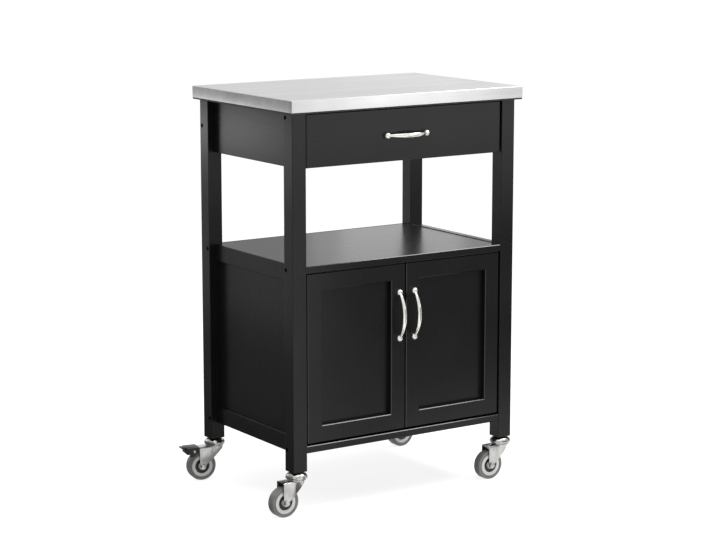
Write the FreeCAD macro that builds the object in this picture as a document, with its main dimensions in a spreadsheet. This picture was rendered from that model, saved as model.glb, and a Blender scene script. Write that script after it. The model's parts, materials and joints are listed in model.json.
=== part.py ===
import FreeCAD, Part
import math
import os
from types import SimpleNamespace

import Sketcher
from FreeCAD import Rotation, Vector

# A microwave stand on four castors: a steel-covered worktop on four square legs, one drawer
# under it, an open shelf, and a cupboard with two framed doors that turn on hidden pivot pins.
# Millimetres, +Z up, front at -Y. The origin is on the floor, at the middle of the overall box.

DRIVING = {
    # overall
    "stand_height": 860,
    "worktop_width": 580,
    "worktop_depth": 400,
    "worktop_thickness": 28,
    "sheet_gauge": 1,
    "core_reveal": 3.5,
    "overhang_side": 10,
    "overhang_front": 15,
    "overhang_back": 15,
    # legs and frame
    "leg_side": 33,
    "arris": 1.2,
    "board_thickness": 15,
    "rail_thickness": 17,
    "rail_height": 36,
    "rail_lift": 1.5,
    "apron_low": 720,
    "shelf_top": 520,
    "shelf_fit": 0.4,
    "bottom_low": 130,
    "lower_rail_low": 127,
    "side_panel_thickness": 5,
    "back_panel_thickness": 5,
    "back_panel_inset": 10,
    "groove_depth": 6,
    "groove_fit": 0.2,
    "stretcher_depth": 30,
    "stretcher_thickness": 18,
    # frame bolts
    "bolt_diameter": 6,
    "bolt_length": 60,
    "bolt_head_diameter": 9,
    "bolt_head_height": 5,
    "bolt_recess": 1.5,
    "bolt_socket": 4,
    "bolt_inset": 26,
    "fastener_fit": 0.1,
    # drawer
    "drawer_gap": 3,
    "drawer_recess": 3.5,
    "drawer_front_thickness": 15,
    "drawer_back_space": 28,
    "drawer_box_height": 74,
    "drawer_box_lift": 8,
    "drawer_side_thickness": 12,
    "drawer_bottom_thickness": 4,
    "drawer_bottom_lift": 8,
    "slide_space": 13,
    "slide_height": 35,
    "slide_end_gap": 3,
    "slide_gauge": 1.2,
    "slide_play": 0.4,
    "slide_lift": 20,
    # doors
    "door_thickness": 18,
    "door_recess": 1.5,
    "door_side_gap": 3.5,
    "door_middle_gap": 3,
    "door_top_gap": 1.5,
    "door_bottom_gap": 4,
    "door_member": 35,
    "door_panel_thickness": 6,
    "door_rabbet": 8,
    "pivot_inset": 12,
    "pivot_diameter": 5,
    "pivot_reach": 8,
    "bush_diameter": 8,
    "bush_length": 10,
    "flange_diameter": 12,
    "bush_flange": 1.5,
    "seat_play": 0.3,
    "catch_width": 30,
    "catch_depth": 14,
    "catch_height": 12,
    "strike_height": 9,
    "strike_thickness": 1,
    # handles
    "handle_spacing": 98,
    "handle_reach": 24,
    "handle_rise": 19.5,
    "handle_drop": 108.5,
    "handle_width": 8,
    "handle_bar": 5.5,
    "handle_round": 1.8,
    "foot_diameter": 14.5,
    "foot_height": 9,
    "foot_round": 2.5,
    "screw_diameter": 4,
    "screw_head_diameter": 8,
    "screw_head_height": 2.5,
    "screw_bite": 7,
    # worktop fixing
    "wood_screw_diameter": 4,
    "wood_screw_head_diameter": 8,
    "wood_screw_bite": 14,
    "fixing_spacing": 180,
    "bracket_side": 22,
    "bracket_gauge": 1.5,
    "bracket_hole_inset": 13,
    # castors
    "wheel_diameter": 63,
    "wheel_width": 20,
    "wheel_trail": 32,
    "wheel_side_play": 0.3,
    "castor_headroom": 29.5,
    "running_fit": 0.1,
    "tyre_round": 1.5,
    "hub_diameter": 50,
    "hub_recess": 3,
    "hub_recess_diameter": 27,
    "hub_boss_diameter": 15,
    "axle_diameter": 8,
    "axle_head_diameter": 13,
    "axle_head_height": 3.5,
    "stem_diameter": 8,
    "stem_length": 35,
    "stem_collar_diameter": 15,
    "stem_collar_height": 1.5,
    "race_diameter": 46,
    "race_height": 12.5,
    "race_play": 0.4,
    "crown_diameter": 40,
    "crown_height": 3.6,
    "kingpin_head_diameter": 14,
    "kingpin_head_height": 3,
    "fork_gauge": 2,
    "fork_side_play": 2,
    "fork_front": 19,
    "fork_heel": 6.5,
    "fork_heel_round": 6,
    "fork_knee_back": 18,
    "fork_knee_rise": 8,
    "fork_lip": 5,
    "rear_castor_turn": 10,
    # brake on the rear castors
    "brake_pin_back": 52,
    "brake_pin_drop": 25,
    "brake_pin_diameter": 4,
    "brake_pin_head": 7,
    "brake_pin_head_height": 1.5,
    "brake_ear": 5,
    "pedal_reach": 80,
    "pedal_width": 19,
    "pedal_hub": 10,
    "pedal_rise": 9.2,
    "pedal_tip": 2,
    "pedal_front": 12,
    "pedal_back": 17,
    "pedal_roof": 6.4,
    "pedal_gauge": 2,
    "pedal_play": 0.3,
    "shoe_back": 6.5,
    "shoe_drop": 10.8,
}

doc = FreeCAD.newDocument("microwave_stand")
sheet = doc.addObject("Spreadsheet::Sheet", "Sizes")
subparts = []


class Size:
    """A number that keeps its formula, so that whatever it sets stays bound to the sheet."""

    def __init__(self, value, text):
        self.value = value
        self.text = text

    def join(self, sign, other, value):
        return Size(value, f"({self.text} {sign} {other.text})")

    def __add__(self, other):
        other = as_size(other)
        return self.join("+", other, self.value + other.value)

    def __sub__(self, other):
        other = as_size(other)
        return self.join("-", other, self.value - other.value)

    def __mul__(self, other):
        other = as_size(other)
        return self.join("*", other, self.value * other.value)

    def __truediv__(self, other):
        other = as_size(other)
        return self.join("/", other, self.value / other.value)

    def __radd__(self, other):
        return as_size(other) + self

    def __rsub__(self, other):
        return as_size(other) - self

    def __rmul__(self, other):
        return as_size(other) * self

    def __neg__(self):
        return as_size(-1) * self


def as_size(number):
    return number if isinstance(number, Size) else Size(float(number), f"{number:g}")


def root(size):
    return Size(math.sqrt(size.value), f"sqrt({size.text})")


def cosine(angle):
    return Size(math.cos(math.radians(angle.value)), f"cos({angle.text})")


def sine(angle):
    return Size(math.sin(math.radians(angle.value)), f"sin({angle.text})")


def arc_angle(chord, radius):
    """The angle of an arc, in degrees, from its chord and radius."""
    ratio = chord / (2 * radius)
    return Size(2 * math.degrees(math.asin(ratio.value)), f"2 * asin({ratio.text})")


def fill_sheet():
    """Writes one row per driving size and returns them all by name."""
    sizes = {}
    for row, (name, number) in enumerate(DRIVING.items(), start=1):
        sheet.set(f"A{row}", name)
        sheet.set(f"B{row}", str(number))
        sheet.setAlias(f"B{row}", name)
        sizes[name] = Size(float(number), f"Sizes.{name}")
    doc.recompute()
    return SimpleNamespace(**sizes)


size = fill_sheet()

# ---- places that follow from the driving sizes ----
leg_outer_x = size.worktop_width / 2 - size.overhang_side
leg_x = leg_outer_x - size.leg_side / 2
inner_x = leg_outer_x - size.leg_side
front_y = size.overhang_front - size.worktop_depth / 2
back_y = size.worktop_depth / 2 - size.overhang_back
front_leg_y = front_y + size.leg_side / 2
back_leg_y = back_y - size.leg_side / 2
leg_top = size.stand_height - size.worktop_thickness
leg_low = size.wheel_diameter + size.castor_headroom
leg_length = leg_top - leg_low
frame_height = leg_top - size.apron_low
rail_x = inner_x + size.rail_thickness / 2
side_gap_y = back_y - front_y - 2 * size.leg_side
side_mid_y = (front_y + back_y) / 2
shelf_low = size.shelf_top - size.board_thickness
bottom_top = size.bottom_low + size.board_thickness
lower_rail_top = size.lower_rail_low + size.rail_height
upper_rail_top = size.shelf_top + size.rail_lift
upper_rail_low = upper_rail_top - size.rail_height
back_panel_y = back_y - size.back_panel_inset - size.back_panel_thickness / 2
board_back_y = back_panel_y - size.back_panel_thickness / 2 - size.groove_fit
drawer_face_y = front_y + size.drawer_recess
drawer_back_face_y = drawer_face_y + size.drawer_front_thickness
door_face_y = front_y + size.door_recess
door_back_y = door_face_y + size.door_thickness
door_low = bottom_top + size.door_bottom_gap
door_top = shelf_low - size.door_top_gap
stretcher_y = drawer_back_face_y + 1 + size.stretcher_depth / 2
apron_inner_y = back_y - size.rail_thickness

# The turned brake pedal reaches furthest left, the worktop right and back, the handles forward.
pedal_corner = size.pedal_width / 2 * sine(size.rear_castor_turn)
overall_left = -leg_x - size.pedal_reach * cosine(size.rear_castor_turn) - pedal_corner
overall_front = door_face_y - size.handle_reach - size.handle_bar / 2
centre_x = -(overall_left + size.worktop_width / 2) / 2
centre_y = -(overall_front + size.worktop_depth / 2) / 2


# ---- building blocks ----
def bind(obj, prop, number):
    obj.setExpression(prop, as_size(number).text)


def place(obj, x, y, z):
    """Puts an object at a point of the stand, measured from the middle of the worktop's plan."""
    bind(obj, "Placement.Base.x", centre_x + x)
    bind(obj, "Placement.Base.y", centre_y + y)
    bind(obj, "Placement.Base.z", z)


def new_body(label, x=0, y=0, z=0, hidden=False):
    body = doc.addObject("PartDesign::Body", label)
    body.Label = label
    place(body, x, y, z)
    if not hidden:
        subparts.append(body)
    return body


def origin_plane(body, role):
    return next(f for f in body.Origin.OriginFeatures if f.Role == role)


def on_plane(axis, at):
    """The plane across an axis, and where a point lies on it: (role, across, up, offset)."""
    x, y, z = at
    if axis == "X":
        return "YZ_Plane", y, z, x
    if axis == "Y":
        return "XZ_Plane", x, z, -as_size(y)
    return "XY_Plane", x, y, z


def new_sketch(body, role, offset):
    sketch = body.newObject("Sketcher::SketchObject", f"{body.Name}_sketch")
    sketch.AttachmentSupport = [(origin_plane(body, role), "")]
    sketch.MapMode = "FlatFace"
    bind(sketch, "AttachmentOffset.Base.z", offset)
    return sketch


def constrain(sketch, kind, number, *where):
    """Adds a constraint whose value is bound to its formula."""
    number = as_size(number)
    index = sketch.addConstraint(Sketcher.Constraint(kind, *where, number.value))
    sketch.renameConstraint(index, f"size{index}")
    bind(sketch, f"Constraints.size{index}", number)


def fix_point(sketch, geometry, position, across, up):
    constrain(sketch, "DistanceX", across, -1, 1, geometry, position)
    constrain(sketch, "DistanceY", up, -1, 1, geometry, position)


def draw_polygon(sketch, points):
    corners = [(as_size(a), as_size(b)) for a, b in points]
    count = len(corners)
    for i, (a, b) in enumerate(corners):
        c, d = corners[(i + 1) % count]
        sketch.addGeometry(Part.LineSegment(Vector(a.value, b.value), Vector(c.value, d.value)))
    for i in range(count):
        sketch.addConstraint(Sketcher.Constraint("Coincident", i, 2, (i + 1) % count, 1))
    for i, (a, b) in enumerate(corners):
        fix_point(sketch, i, 1, a, b)


def draw_circle(sketch, across, up, diameter):
    across, up, diameter = as_size(across), as_size(up), as_size(diameter)
    circle = Part.Circle(Vector(across.value, up.value), Vector(0, 0, 1), diameter.value / 2)
    index = sketch.addGeometry(circle)
    fix_point(sketch, index, 3, across, up)
    constrain(sketch, "Diameter", diameter, index)


def draw_rectangle(sketch, across, up, width, height):
    left, right = across - width / 2, across + width / 2
    low, high = up - height / 2, up + height / 2
    draw_polygon(sketch, [(left, low), (right, low), (right, high), (left, high)])


def grow(body, sketch, length, kind="PartDesign::Pad"):
    """Pads, or pockets, a sketch equally to both sides of its plane."""
    feature = body.newObject(kind, f"{body.Name}_{kind.split('::')[1].lower()}")
    feature.Profile = sketch
    feature.Midplane = True
    bind(feature, "Length", length)
    return feature


def box(body, at, extent, kind="PartDesign::Pad"):
    """A block centred at a point, added to the body or cut from it."""
    x, y, z = (as_size(v) for v in at)
    width, depth, height = (as_size(v) for v in extent)
    sketch = new_sketch(body, "XY_Plane", z)
    draw_rectangle(sketch, x, y, width, depth)
    return grow(body, sketch, height, kind)


def cut_box(body, at, extent):
    return box(body, at, extent, "PartDesign::Pocket")


def rod(body, axis, at, diameter, length, kind="PartDesign::Pad"):
    """A cylinder along an axis, centred at a point, added to the body or cut from it."""
    role, across, up, offset = on_plane(axis, at)
    sketch = new_sketch(body, role, offset)
    draw_circle(sketch, across, up, diameter)
    return grow(body, sketch, length, kind)


def drill(body, axis, at, diameter, length):
    return rod(body, axis, at, diameter, length, "PartDesign::Pocket")


def prism(body, axis, offset, points, length, kind="PartDesign::Pad"):
    """A block with a drawn outline across an axis, grown to both sides of the offset."""
    at = {"X": (offset, 0, 0), "Y": (0, offset, 0), "Z": (0, 0, offset)}[axis]
    role, _, _, distance = on_plane(axis, at)
    sketch = new_sketch(body, role, distance)
    draw_polygon(sketch, points)
    return grow(body, sketch, length, kind)


def turn(body, outline):
    """Turns an outline of (radius, height) points about the body's Z axis."""
    sketch = new_sketch(body, "XZ_Plane", 0)
    draw_polygon(sketch, outline)
    feature = body.newObject("PartDesign::Revolution", f"{body.Name}_turning")
    feature.Profile = sketch
    feature.ReferenceAxis = (sketch, ["V_Axis"])
    feature.Angle = 360
    return feature


def dress(body, kind, prop, number, chosen):
    """Rounds or bevels the chosen edges of what the body is so far."""
    doc.recompute()
    base = body.Tip
    names = [f"Edge{i}" for i, e in enumerate(base.Shape.Edges, start=1) if chosen(e)]
    feature = body.newObject(f"PartDesign::{kind}", f"{body.Name}_{kind.lower()}")
    feature.Base = (base, names)
    bind(feature, prop, number)


def soften(body, radius, chosen=lambda edge: True):
    dress(body, "Fillet", "Radius", radius, chosen)


def bevel(body, width, chosen=lambda edge: True):
    dress(body, "Chamfer", "Size", width, chosen)


def front_edge(edge):
    return edge.BoundBox.YMax < 0


def board(label, at, extent, eased=None, hidden=False):
    """A board whose origin is the middle of its block, with its long edges eased by default."""
    body = new_body(label, *at, hidden=hidden)
    box(body, (0, 0, 0), extent)
    longest = max(as_size(v).value for v in extent)
    soften(body, size.arris, eased or (lambda edge: edge.Length > 0.99 * longest))
    return body


def sheet_board(label, at, extent):
    """A thin board with square edges that sit out of sight in grooves."""
    body = new_body(label, *at)
    box(body, (0, 0, 0), extent)
    return body


def gather(label, members):
    """Several separate solids that share one node."""
    group = doc.addObject("Part::Compound", label)
    group.Label = label
    group.Links = members
    subparts.append(group)
    return group


def copies(label, pattern, spots):
    """Places copies of a pattern body: each spot is (x, y, z, turn about its axis, axis)."""
    links = []
    for number, (x, y, z, angle, axis) in enumerate(spots, start=1):
        link = doc.addObject("App::Link", f"{label}_{number}")
        link.LinkedObject = pattern
        link.LinkTransform = False
        link.Placement = FreeCAD.Placement(Vector(), Rotation(axis, angle))
        place(link, x, y, z)
        links.append(link)
    return links


X_AXIS, Y_AXIS, Z_AXIS = Vector(1, 0, 0), Vector(0, 1, 0), Vector(0, 0, 1)
SIDES = {"left": -1, "right": 1}
ENDS = {"front": -1, "back": 1}


# ---- worktop ----
def worktop():
    """A board under a cap of folded steel sheet, which stops short of the board's lower edge."""
    mid_z = size.stand_height - size.worktop_thickness / 2
    core = new_body("worktop_core", 0, 0, mid_z)
    core_width = size.worktop_width - 2 * size.sheet_gauge
    core_depth = size.worktop_depth - 2 * size.sheet_gauge
    core_height = size.worktop_thickness - size.sheet_gauge
    box(core, (0, 0, -size.sheet_gauge / 2), (core_width, core_depth, core_height))
    shank_hole = size.wood_screw_diameter + size.fastener_fit
    for x, y in stretcher_screw_places() + bracket_screw_places():
        at = (x, y, -size.worktop_thickness / 2)
        drill(core, "Z", at, shank_hole, 2 * (size.wood_screw_bite + 1))
    skin = new_body("worktop_skin", 0, 0, mid_z)
    skin_height = size.worktop_thickness - size.core_reveal
    at = (0, 0, size.core_reveal / 2)
    box(skin, at, (size.worktop_width, size.worktop_depth, skin_height))
    soften(skin, size.sheet_gauge * 0.8, lambda edge: edge.BoundBox.ZMax > 0)
    hollow = (core_width, core_depth, core_height + size.sheet_gauge)
    cut_box(skin, (0, 0, -size.sheet_gauge), hollow)


def stretcher_screw_places():
    return [(sx * size.fixing_spacing, stretcher_y) for sx in (-1, 0, 1)]


def bracket_screw_places():
    y = apron_inner_y - size.bracket_hole_inset
    return [(sx * size.fixing_spacing, y) for sx in (-1, 1)]


# ---- legs and frame ----
def bolt_heights(end):
    """Where a leg is bolted to the cross members: (inset from its outer face, height)."""
    shelf = (size.bolt_inset, shelf_low + size.board_thickness / 2)
    floor = (size.bolt_inset, size.bottom_low + size.board_thickness / 2)
    if end == "front":
        top = (size.bolt_inset, leg_top - size.stretcher_thickness / 2)
    else:
        top = (size.rail_thickness / 2, size.apron_low + frame_height / 2)
    return [top, shelf, floor]


def leg(end, side):
    sx, sy = SIDES[side], ENDS[end]
    y = back_leg_y if end == "back" else front_leg_y
    body = new_body(f"{end}_{side}_leg", sx * leg_x, y, leg_low)
    mid = leg_length / 2
    half = size.leg_side / 2
    box(body, (0, 0, mid), (size.leg_side, size.leg_side, leg_length))
    soften(body, size.arris, lambda edge: edge.Length > size.leg_side.value * 2)
    head_depth = size.bolt_head_height + size.bolt_recess
    for inset, height in bolt_heights(end):
        at_y, at_z = sy * (half - inset), height - leg_low
        drill(body, "X", (0, at_y, at_z), size.bolt_diameter + size.fastener_fit, 2 * size.leg_side)
        sink = size.bolt_head_diameter + size.fastener_fit
        drill(body, "X", (sx * half, at_y, at_z), sink, 2 * head_depth)
    stem_hole = size.stem_diameter + size.fastener_fit
    drill(body, "Z", (0, 0, 0), stem_hole, 2 * (size.stem_length + 1))
    panel_x = -sx * (half - size.rail_thickness / 2)
    groove_width = size.side_panel_thickness + 2 * size.groove_fit
    groove_low, groove_high = side_panel_span()
    groove_mid = (groove_low + groove_high) / 2 - leg_low
    groove_length = groove_high - groove_low + 2 * size.groove_fit
    depth = 2 * (size.groove_depth + size.groove_fit)
    cut_box(body, (panel_x, -sy * half, groove_mid), (groove_width, depth, groove_length))
    if end == "back":
        width = size.back_panel_thickness + 2 * size.groove_fit
        low, high = size.bottom_low, size.shelf_top
        height = high - low + 2 * size.groove_fit
        at = (-sx * half, back_panel_y - back_leg_y, (low + high) / 2 - leg_low)
        cut_box(body, at, (depth, width, height))


def side_panel_span():
    return lower_rail_top - size.groove_depth, upper_rail_low + size.groove_depth


def side_frame(side):
    """The apron, two rails and grooved-in panel between a front leg and a back leg."""
    sx = SIDES[side]
    x = sx * rail_x
    apron_mid = size.apron_low + frame_height / 2
    extent = (size.rail_thickness, side_gap_y, frame_height)
    board(f"{side}_apron", (x, side_mid_y, apron_mid), extent)
    extent = (size.rail_thickness, side_gap_y, size.rail_height)
    upper_z = upper_rail_low + size.rail_height / 2
    upper = board(f"upper_{side}_rail", (x, side_mid_y, upper_z), extent)
    lower_z = size.lower_rail_low + size.rail_height / 2
    lower = board(f"lower_{side}_rail", (x, side_mid_y, lower_z), extent)
    groove_width = size.side_panel_thickness + 2 * size.groove_fit
    groove = (groove_width, side_gap_y * 2, 2 * (size.groove_depth + size.groove_fit))
    cut_box(upper, (0, 0, -size.rail_height / 2), groove)
    cut_box(lower, (0, 0, size.rail_height / 2), groove)
    low, high = side_panel_span()
    panel_depth = side_gap_y + 2 * size.groove_depth
    extent = (size.side_panel_thickness, panel_depth, high - low)
    sheet_board(f"{side}_side_panel", (x, side_mid_y, (low + high) / 2), extent)


def cross_board(label, y_low, y_high, z_low, z_high, bolts_y, fit=0):
    """A board from one side frame to the other, drilled at its ends for the frame bolts."""
    mid_y, mid_z = (y_low + y_high) / 2, (z_low + z_high) / 2
    width = 2 * (inner_x - fit)
    body = board(label, (0, mid_y, mid_z), (width, y_high - y_low, z_high - z_low))
    hole = size.bolt_diameter + size.fastener_fit
    bite = 2 * (size.bolt_length - size.leg_side + size.bolt_recess + size.bolt_head_height + 2)
    for sx in SIDES.values():
        for y in bolts_y:
            drill(body, "X", (sx * width / 2, y - mid_y, 0), hole, bite)
    return body


def cross_members():
    bolt_front = front_y + size.bolt_inset
    bolt_back = back_y - size.bolt_inset
    both = (bolt_front, bolt_back)
    screw_hole = size.wood_screw_diameter + size.fastener_fit
    apron = cross_board("back_apron", apron_inner_y, back_y, size.apron_low, leg_top,
                        (back_y - size.rail_thickness / 2,))
    for x, _ in bracket_screw_places():
        at = (x, -size.rail_thickness / 2, frame_height / 2 - size.bracket_hole_inset)
        drill(apron, "Y", at, screw_hole, 2 * (size.wood_screw_bite + 1))
    low, high = stretcher_y - size.stretcher_depth / 2, stretcher_y + size.stretcher_depth / 2
    stretcher = cross_board("front_stretcher", low, high, leg_top - size.stretcher_thickness,
                            leg_top, (bolt_front,))
    for x, _ in stretcher_screw_places():
        drill(stretcher, "Z", (x, 0, 0), screw_hole, 2 * size.stretcher_thickness)
    shelf = cross_board("shelf", front_y, board_back_y, shelf_low, size.shelf_top, both,
                        size.shelf_fit)
    floor = cross_board("cupboard_floor", front_y, board_back_y, size.bottom_low, bottom_top,
                        both, size.shelf_fit)
    mid_y = (front_y + board_back_y) / 2
    pin_hole = size.pivot_diameter + size.fastener_fit
    depth = 2 * (size.pivot_reach + 1)
    for sx in SIDES.values():
        spot_y = pivot_y - mid_y
        drill(shelf, "Z", (sx * pivot_x, spot_y, -size.board_thickness / 2), pin_hole, depth)
        drill(floor, "Z", (sx * pivot_x, spot_y, size.board_thickness / 2), pin_hole, depth)


def back_panel():
    width = 2 * (inner_x + size.groove_depth)
    low, high = size.bottom_low, size.shelf_top
    extent = (width, size.back_panel_thickness, high - low)
    sheet_board("back_panel", (0, back_panel_y, (low + high) / 2), extent)


# ---- fasteners of the frame ----
def frame_bolts():
    """Bolts with a hexagon socket, through the legs' outer faces into the cross members."""
    body = new_body("frame_bolt", hidden=True)
    head, shank = size.bolt_head_height, size.bolt_length
    rod(body, "X", (head / 2, 0, 0), size.bolt_head_diameter, head)
    rod(body, "X", (head + shank / 2, 0, 0), size.bolt_diameter, shank)
    reach, flat = size.bolt_socket / root(as_size(3)), size.bolt_socket / 2
    hexagon = [(reach, 0), (reach / 2, flat), (-reach / 2, flat),
               (-reach, 0), (-reach / 2, -flat), (reach / 2, -flat)]
    prism(body, "X", 0, hexagon, 1.2 * head, "PartDesign::Pocket")
    spots = []
    for sx in SIDES.values():
        for end, sy in ENDS.items():
            outer_y = back_y if end == "back" else front_y
            for inset, height in bolt_heights(end):
                x = sx * (leg_outer_x - size.bolt_recess)
                spots.append((x, outer_y - sy * inset, height, 180 if sx > 0 else 0, Z_AXIS))
    gather("frame_bolts", copies("frame_bolt_copy", body, spots))


def wood_screw(label, through):
    """A pan-head screw whose shank first passes through a part, then bites into wood."""
    body = new_body(label, hidden=True)
    shank = through + size.wood_screw_bite
    head = size.screw_head_height
    rod(body, "Z", (0, 0, -head / 2), size.wood_screw_head_diameter, head)
    rod(body, "Z", (0, 0, shank / 2), size.wood_screw_diameter, shank)
    return body


def worktop_fixings():
    """Screws up through the front stretcher, and two brackets screwed on at the back."""
    side, gauge, inset = size.bracket_side, size.bracket_gauge, size.bracket_hole_inset
    bracket = new_body("worktop_bracket", hidden=True)
    box(bracket, (0, -side / 2, -gauge / 2), (side, side, gauge))
    box(bracket, (0, -gauge / 2, -side / 2), (side, gauge, side))
    hole = size.wood_screw_diameter + size.fastener_fit
    drill(bracket, "Z", (0, -inset, 0), hole, 4 * gauge)
    drill(bracket, "Y", (0, 0, -inset), hole, 4 * gauge)
    spots = [(x, apron_inner_y, leg_top, 0, Z_AXIS) for x, _ in bracket_screw_places()]
    gather("worktop_brackets", copies("worktop_bracket_copy", bracket, spots))
    long_screw = wood_screw("stretcher_screw", size.stretcher_thickness)
    short_screw = wood_screw("bracket_screw", gauge)
    low = leg_top - size.stretcher_thickness
    long_spots = [(x, y, low, 0, Z_AXIS) for x, y in stretcher_screw_places()]
    short_spots = []
    for x, y in bracket_screw_places():
        short_spots.append((x, y, leg_top - gauge, 0, Z_AXIS))
        short_spots.append((x, apron_inner_y - gauge, leg_top - inset, -90, X_AXIS))
    gather("worktop_screws", copies("stretcher_screw_copy", long_screw, long_spots)
           + copies("bracket_screw_copy", short_screw, short_spots))


# ---- drawer ----
drawer_half = inner_x - size.slide_space
drawer_low = size.apron_low + size.drawer_box_lift
drawer_mid_z = drawer_low + size.drawer_box_height / 2
drawer_box_depth = apron_inner_y - size.drawer_back_space - drawer_back_face_y
drawer_mid_y = drawer_back_face_y + drawer_box_depth / 2
drawer_bottom_z = drawer_low + size.drawer_bottom_lift + size.drawer_bottom_thickness / 2
drawer_front_high = leg_top - size.drawer_gap
drawer_front_z = (size.apron_low + drawer_front_high) / 2
slide_z = drawer_low + size.slide_lift + size.slide_height / 2
slide_length = drawer_box_depth - 2 * size.slide_end_gap


def drawer_box():
    """Front, two sides, a back, and a thin bottom that sits in grooves."""
    thick, groove = size.drawer_side_thickness, size.drawer_side_thickness / 2
    cut_depth = 2 * (groove + size.groove_fit)
    slot = size.drawer_bottom_thickness + 2 * size.groove_fit
    slot_z = drawer_bottom_z - drawer_mid_z
    inner_width = 2 * (drawer_half - thick)
    panel_width = inner_width + 2 * groove

    front_thick = size.drawer_front_thickness
    front_y_mid = drawer_face_y + front_thick / 2
    extent = (2 * (inner_x - size.drawer_gap), front_thick, drawer_front_high - size.apron_low)
    front = board("drawer_front", (0, front_y_mid, drawer_front_z), extent, front_edge)
    at = (0, front_thick / 2, drawer_bottom_z - drawer_front_z)
    cut_box(front, at, (panel_width + 2 * size.groove_fit, cut_depth, slot))
    for sx in SIDES.values():
        spot = (sx * size.handle_spacing / 2, 0, 0)
        drill(front, "Y", spot, size.screw_diameter + size.fastener_fit, 2 * front_thick)

    for side, sx in SIDES.items():
        at = (sx * (drawer_half - thick / 2), drawer_mid_y, drawer_mid_z)
        body = board(f"drawer_{side}_side", at, (thick, drawer_box_depth, size.drawer_box_height))
        groove_cut = (cut_depth, 2 * drawer_box_depth, slot)
        cut_box(body, (-sx * thick / 2, 0, slot_z), groove_cut)

    back_mid_y = drawer_back_face_y + drawer_box_depth - thick / 2
    extent = (inner_width, thick, size.drawer_box_height)
    back = board("drawer_back", (0, back_mid_y, drawer_mid_z), extent)
    cut_box(back, (0, -thick / 2, slot_z), (2 * inner_width, cut_depth, slot))

    bottom_depth = drawer_box_depth - thick + 2 * groove
    at = (0, drawer_back_face_y - groove + bottom_depth / 2, drawer_bottom_z)
    sheet_board("drawer_bottom", at, (panel_width, bottom_depth, size.drawer_bottom_thickness))


def channel(label, facing, web_x, reach, height):
    """A thin channel along the drawer's travel, its two flanges reaching sideways from a web."""
    body = new_body(label, hidden=True)
    gauge = size.slide_gauge
    box(body, (web_x, drawer_mid_y, slide_z), (gauge, slide_length, height))
    flange_x = web_x + facing * (reach - gauge) / 2
    for up in (-1, 1):
        at = (flange_x, drawer_mid_y, slide_z + up * (height - gauge) / 2)
        box(body, at, (reach, slide_length, gauge))
    return body


def drawer_slides():
    """Fixed channels on the side frames, and smaller ones on the drawer that slide inside them."""
    gauge, play = size.slide_gauge, size.slide_play
    inner_height = size.slide_height - 2 * gauge - 2 * play
    fixed, moving = [], []
    for side, sx in SIDES.items():
        web = sx * (inner_x - gauge / 2)
        reach = size.slide_space - play
        fixed.append(channel(f"{side}_slide_channel", -sx, web, reach, size.slide_height))
        web = sx * (drawer_half + gauge / 2)
        reach = size.slide_space - gauge - play
        moving.append(channel(f"{side}_slide_runner", sx, web, reach, inner_height))
    gather("slide_channels", fixed)
    gather("slide_runners", moving)


# ---- doors ----
door_width = inner_x - size.door_side_gap - size.door_middle_gap / 2
door_mid_x = inner_x - size.door_side_gap - door_width / 2
door_mid_y = (door_face_y + door_back_y) / 2
door_height = door_top - door_low
door_mid_z = (door_low + door_top) / 2
pivot_x = inner_x - size.door_side_gap - size.pivot_inset
pivot_y = door_mid_y
stile_x = size.door_middle_gap / 2 + size.door_member / 2
door_handle_z = door_top - size.handle_drop


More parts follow.
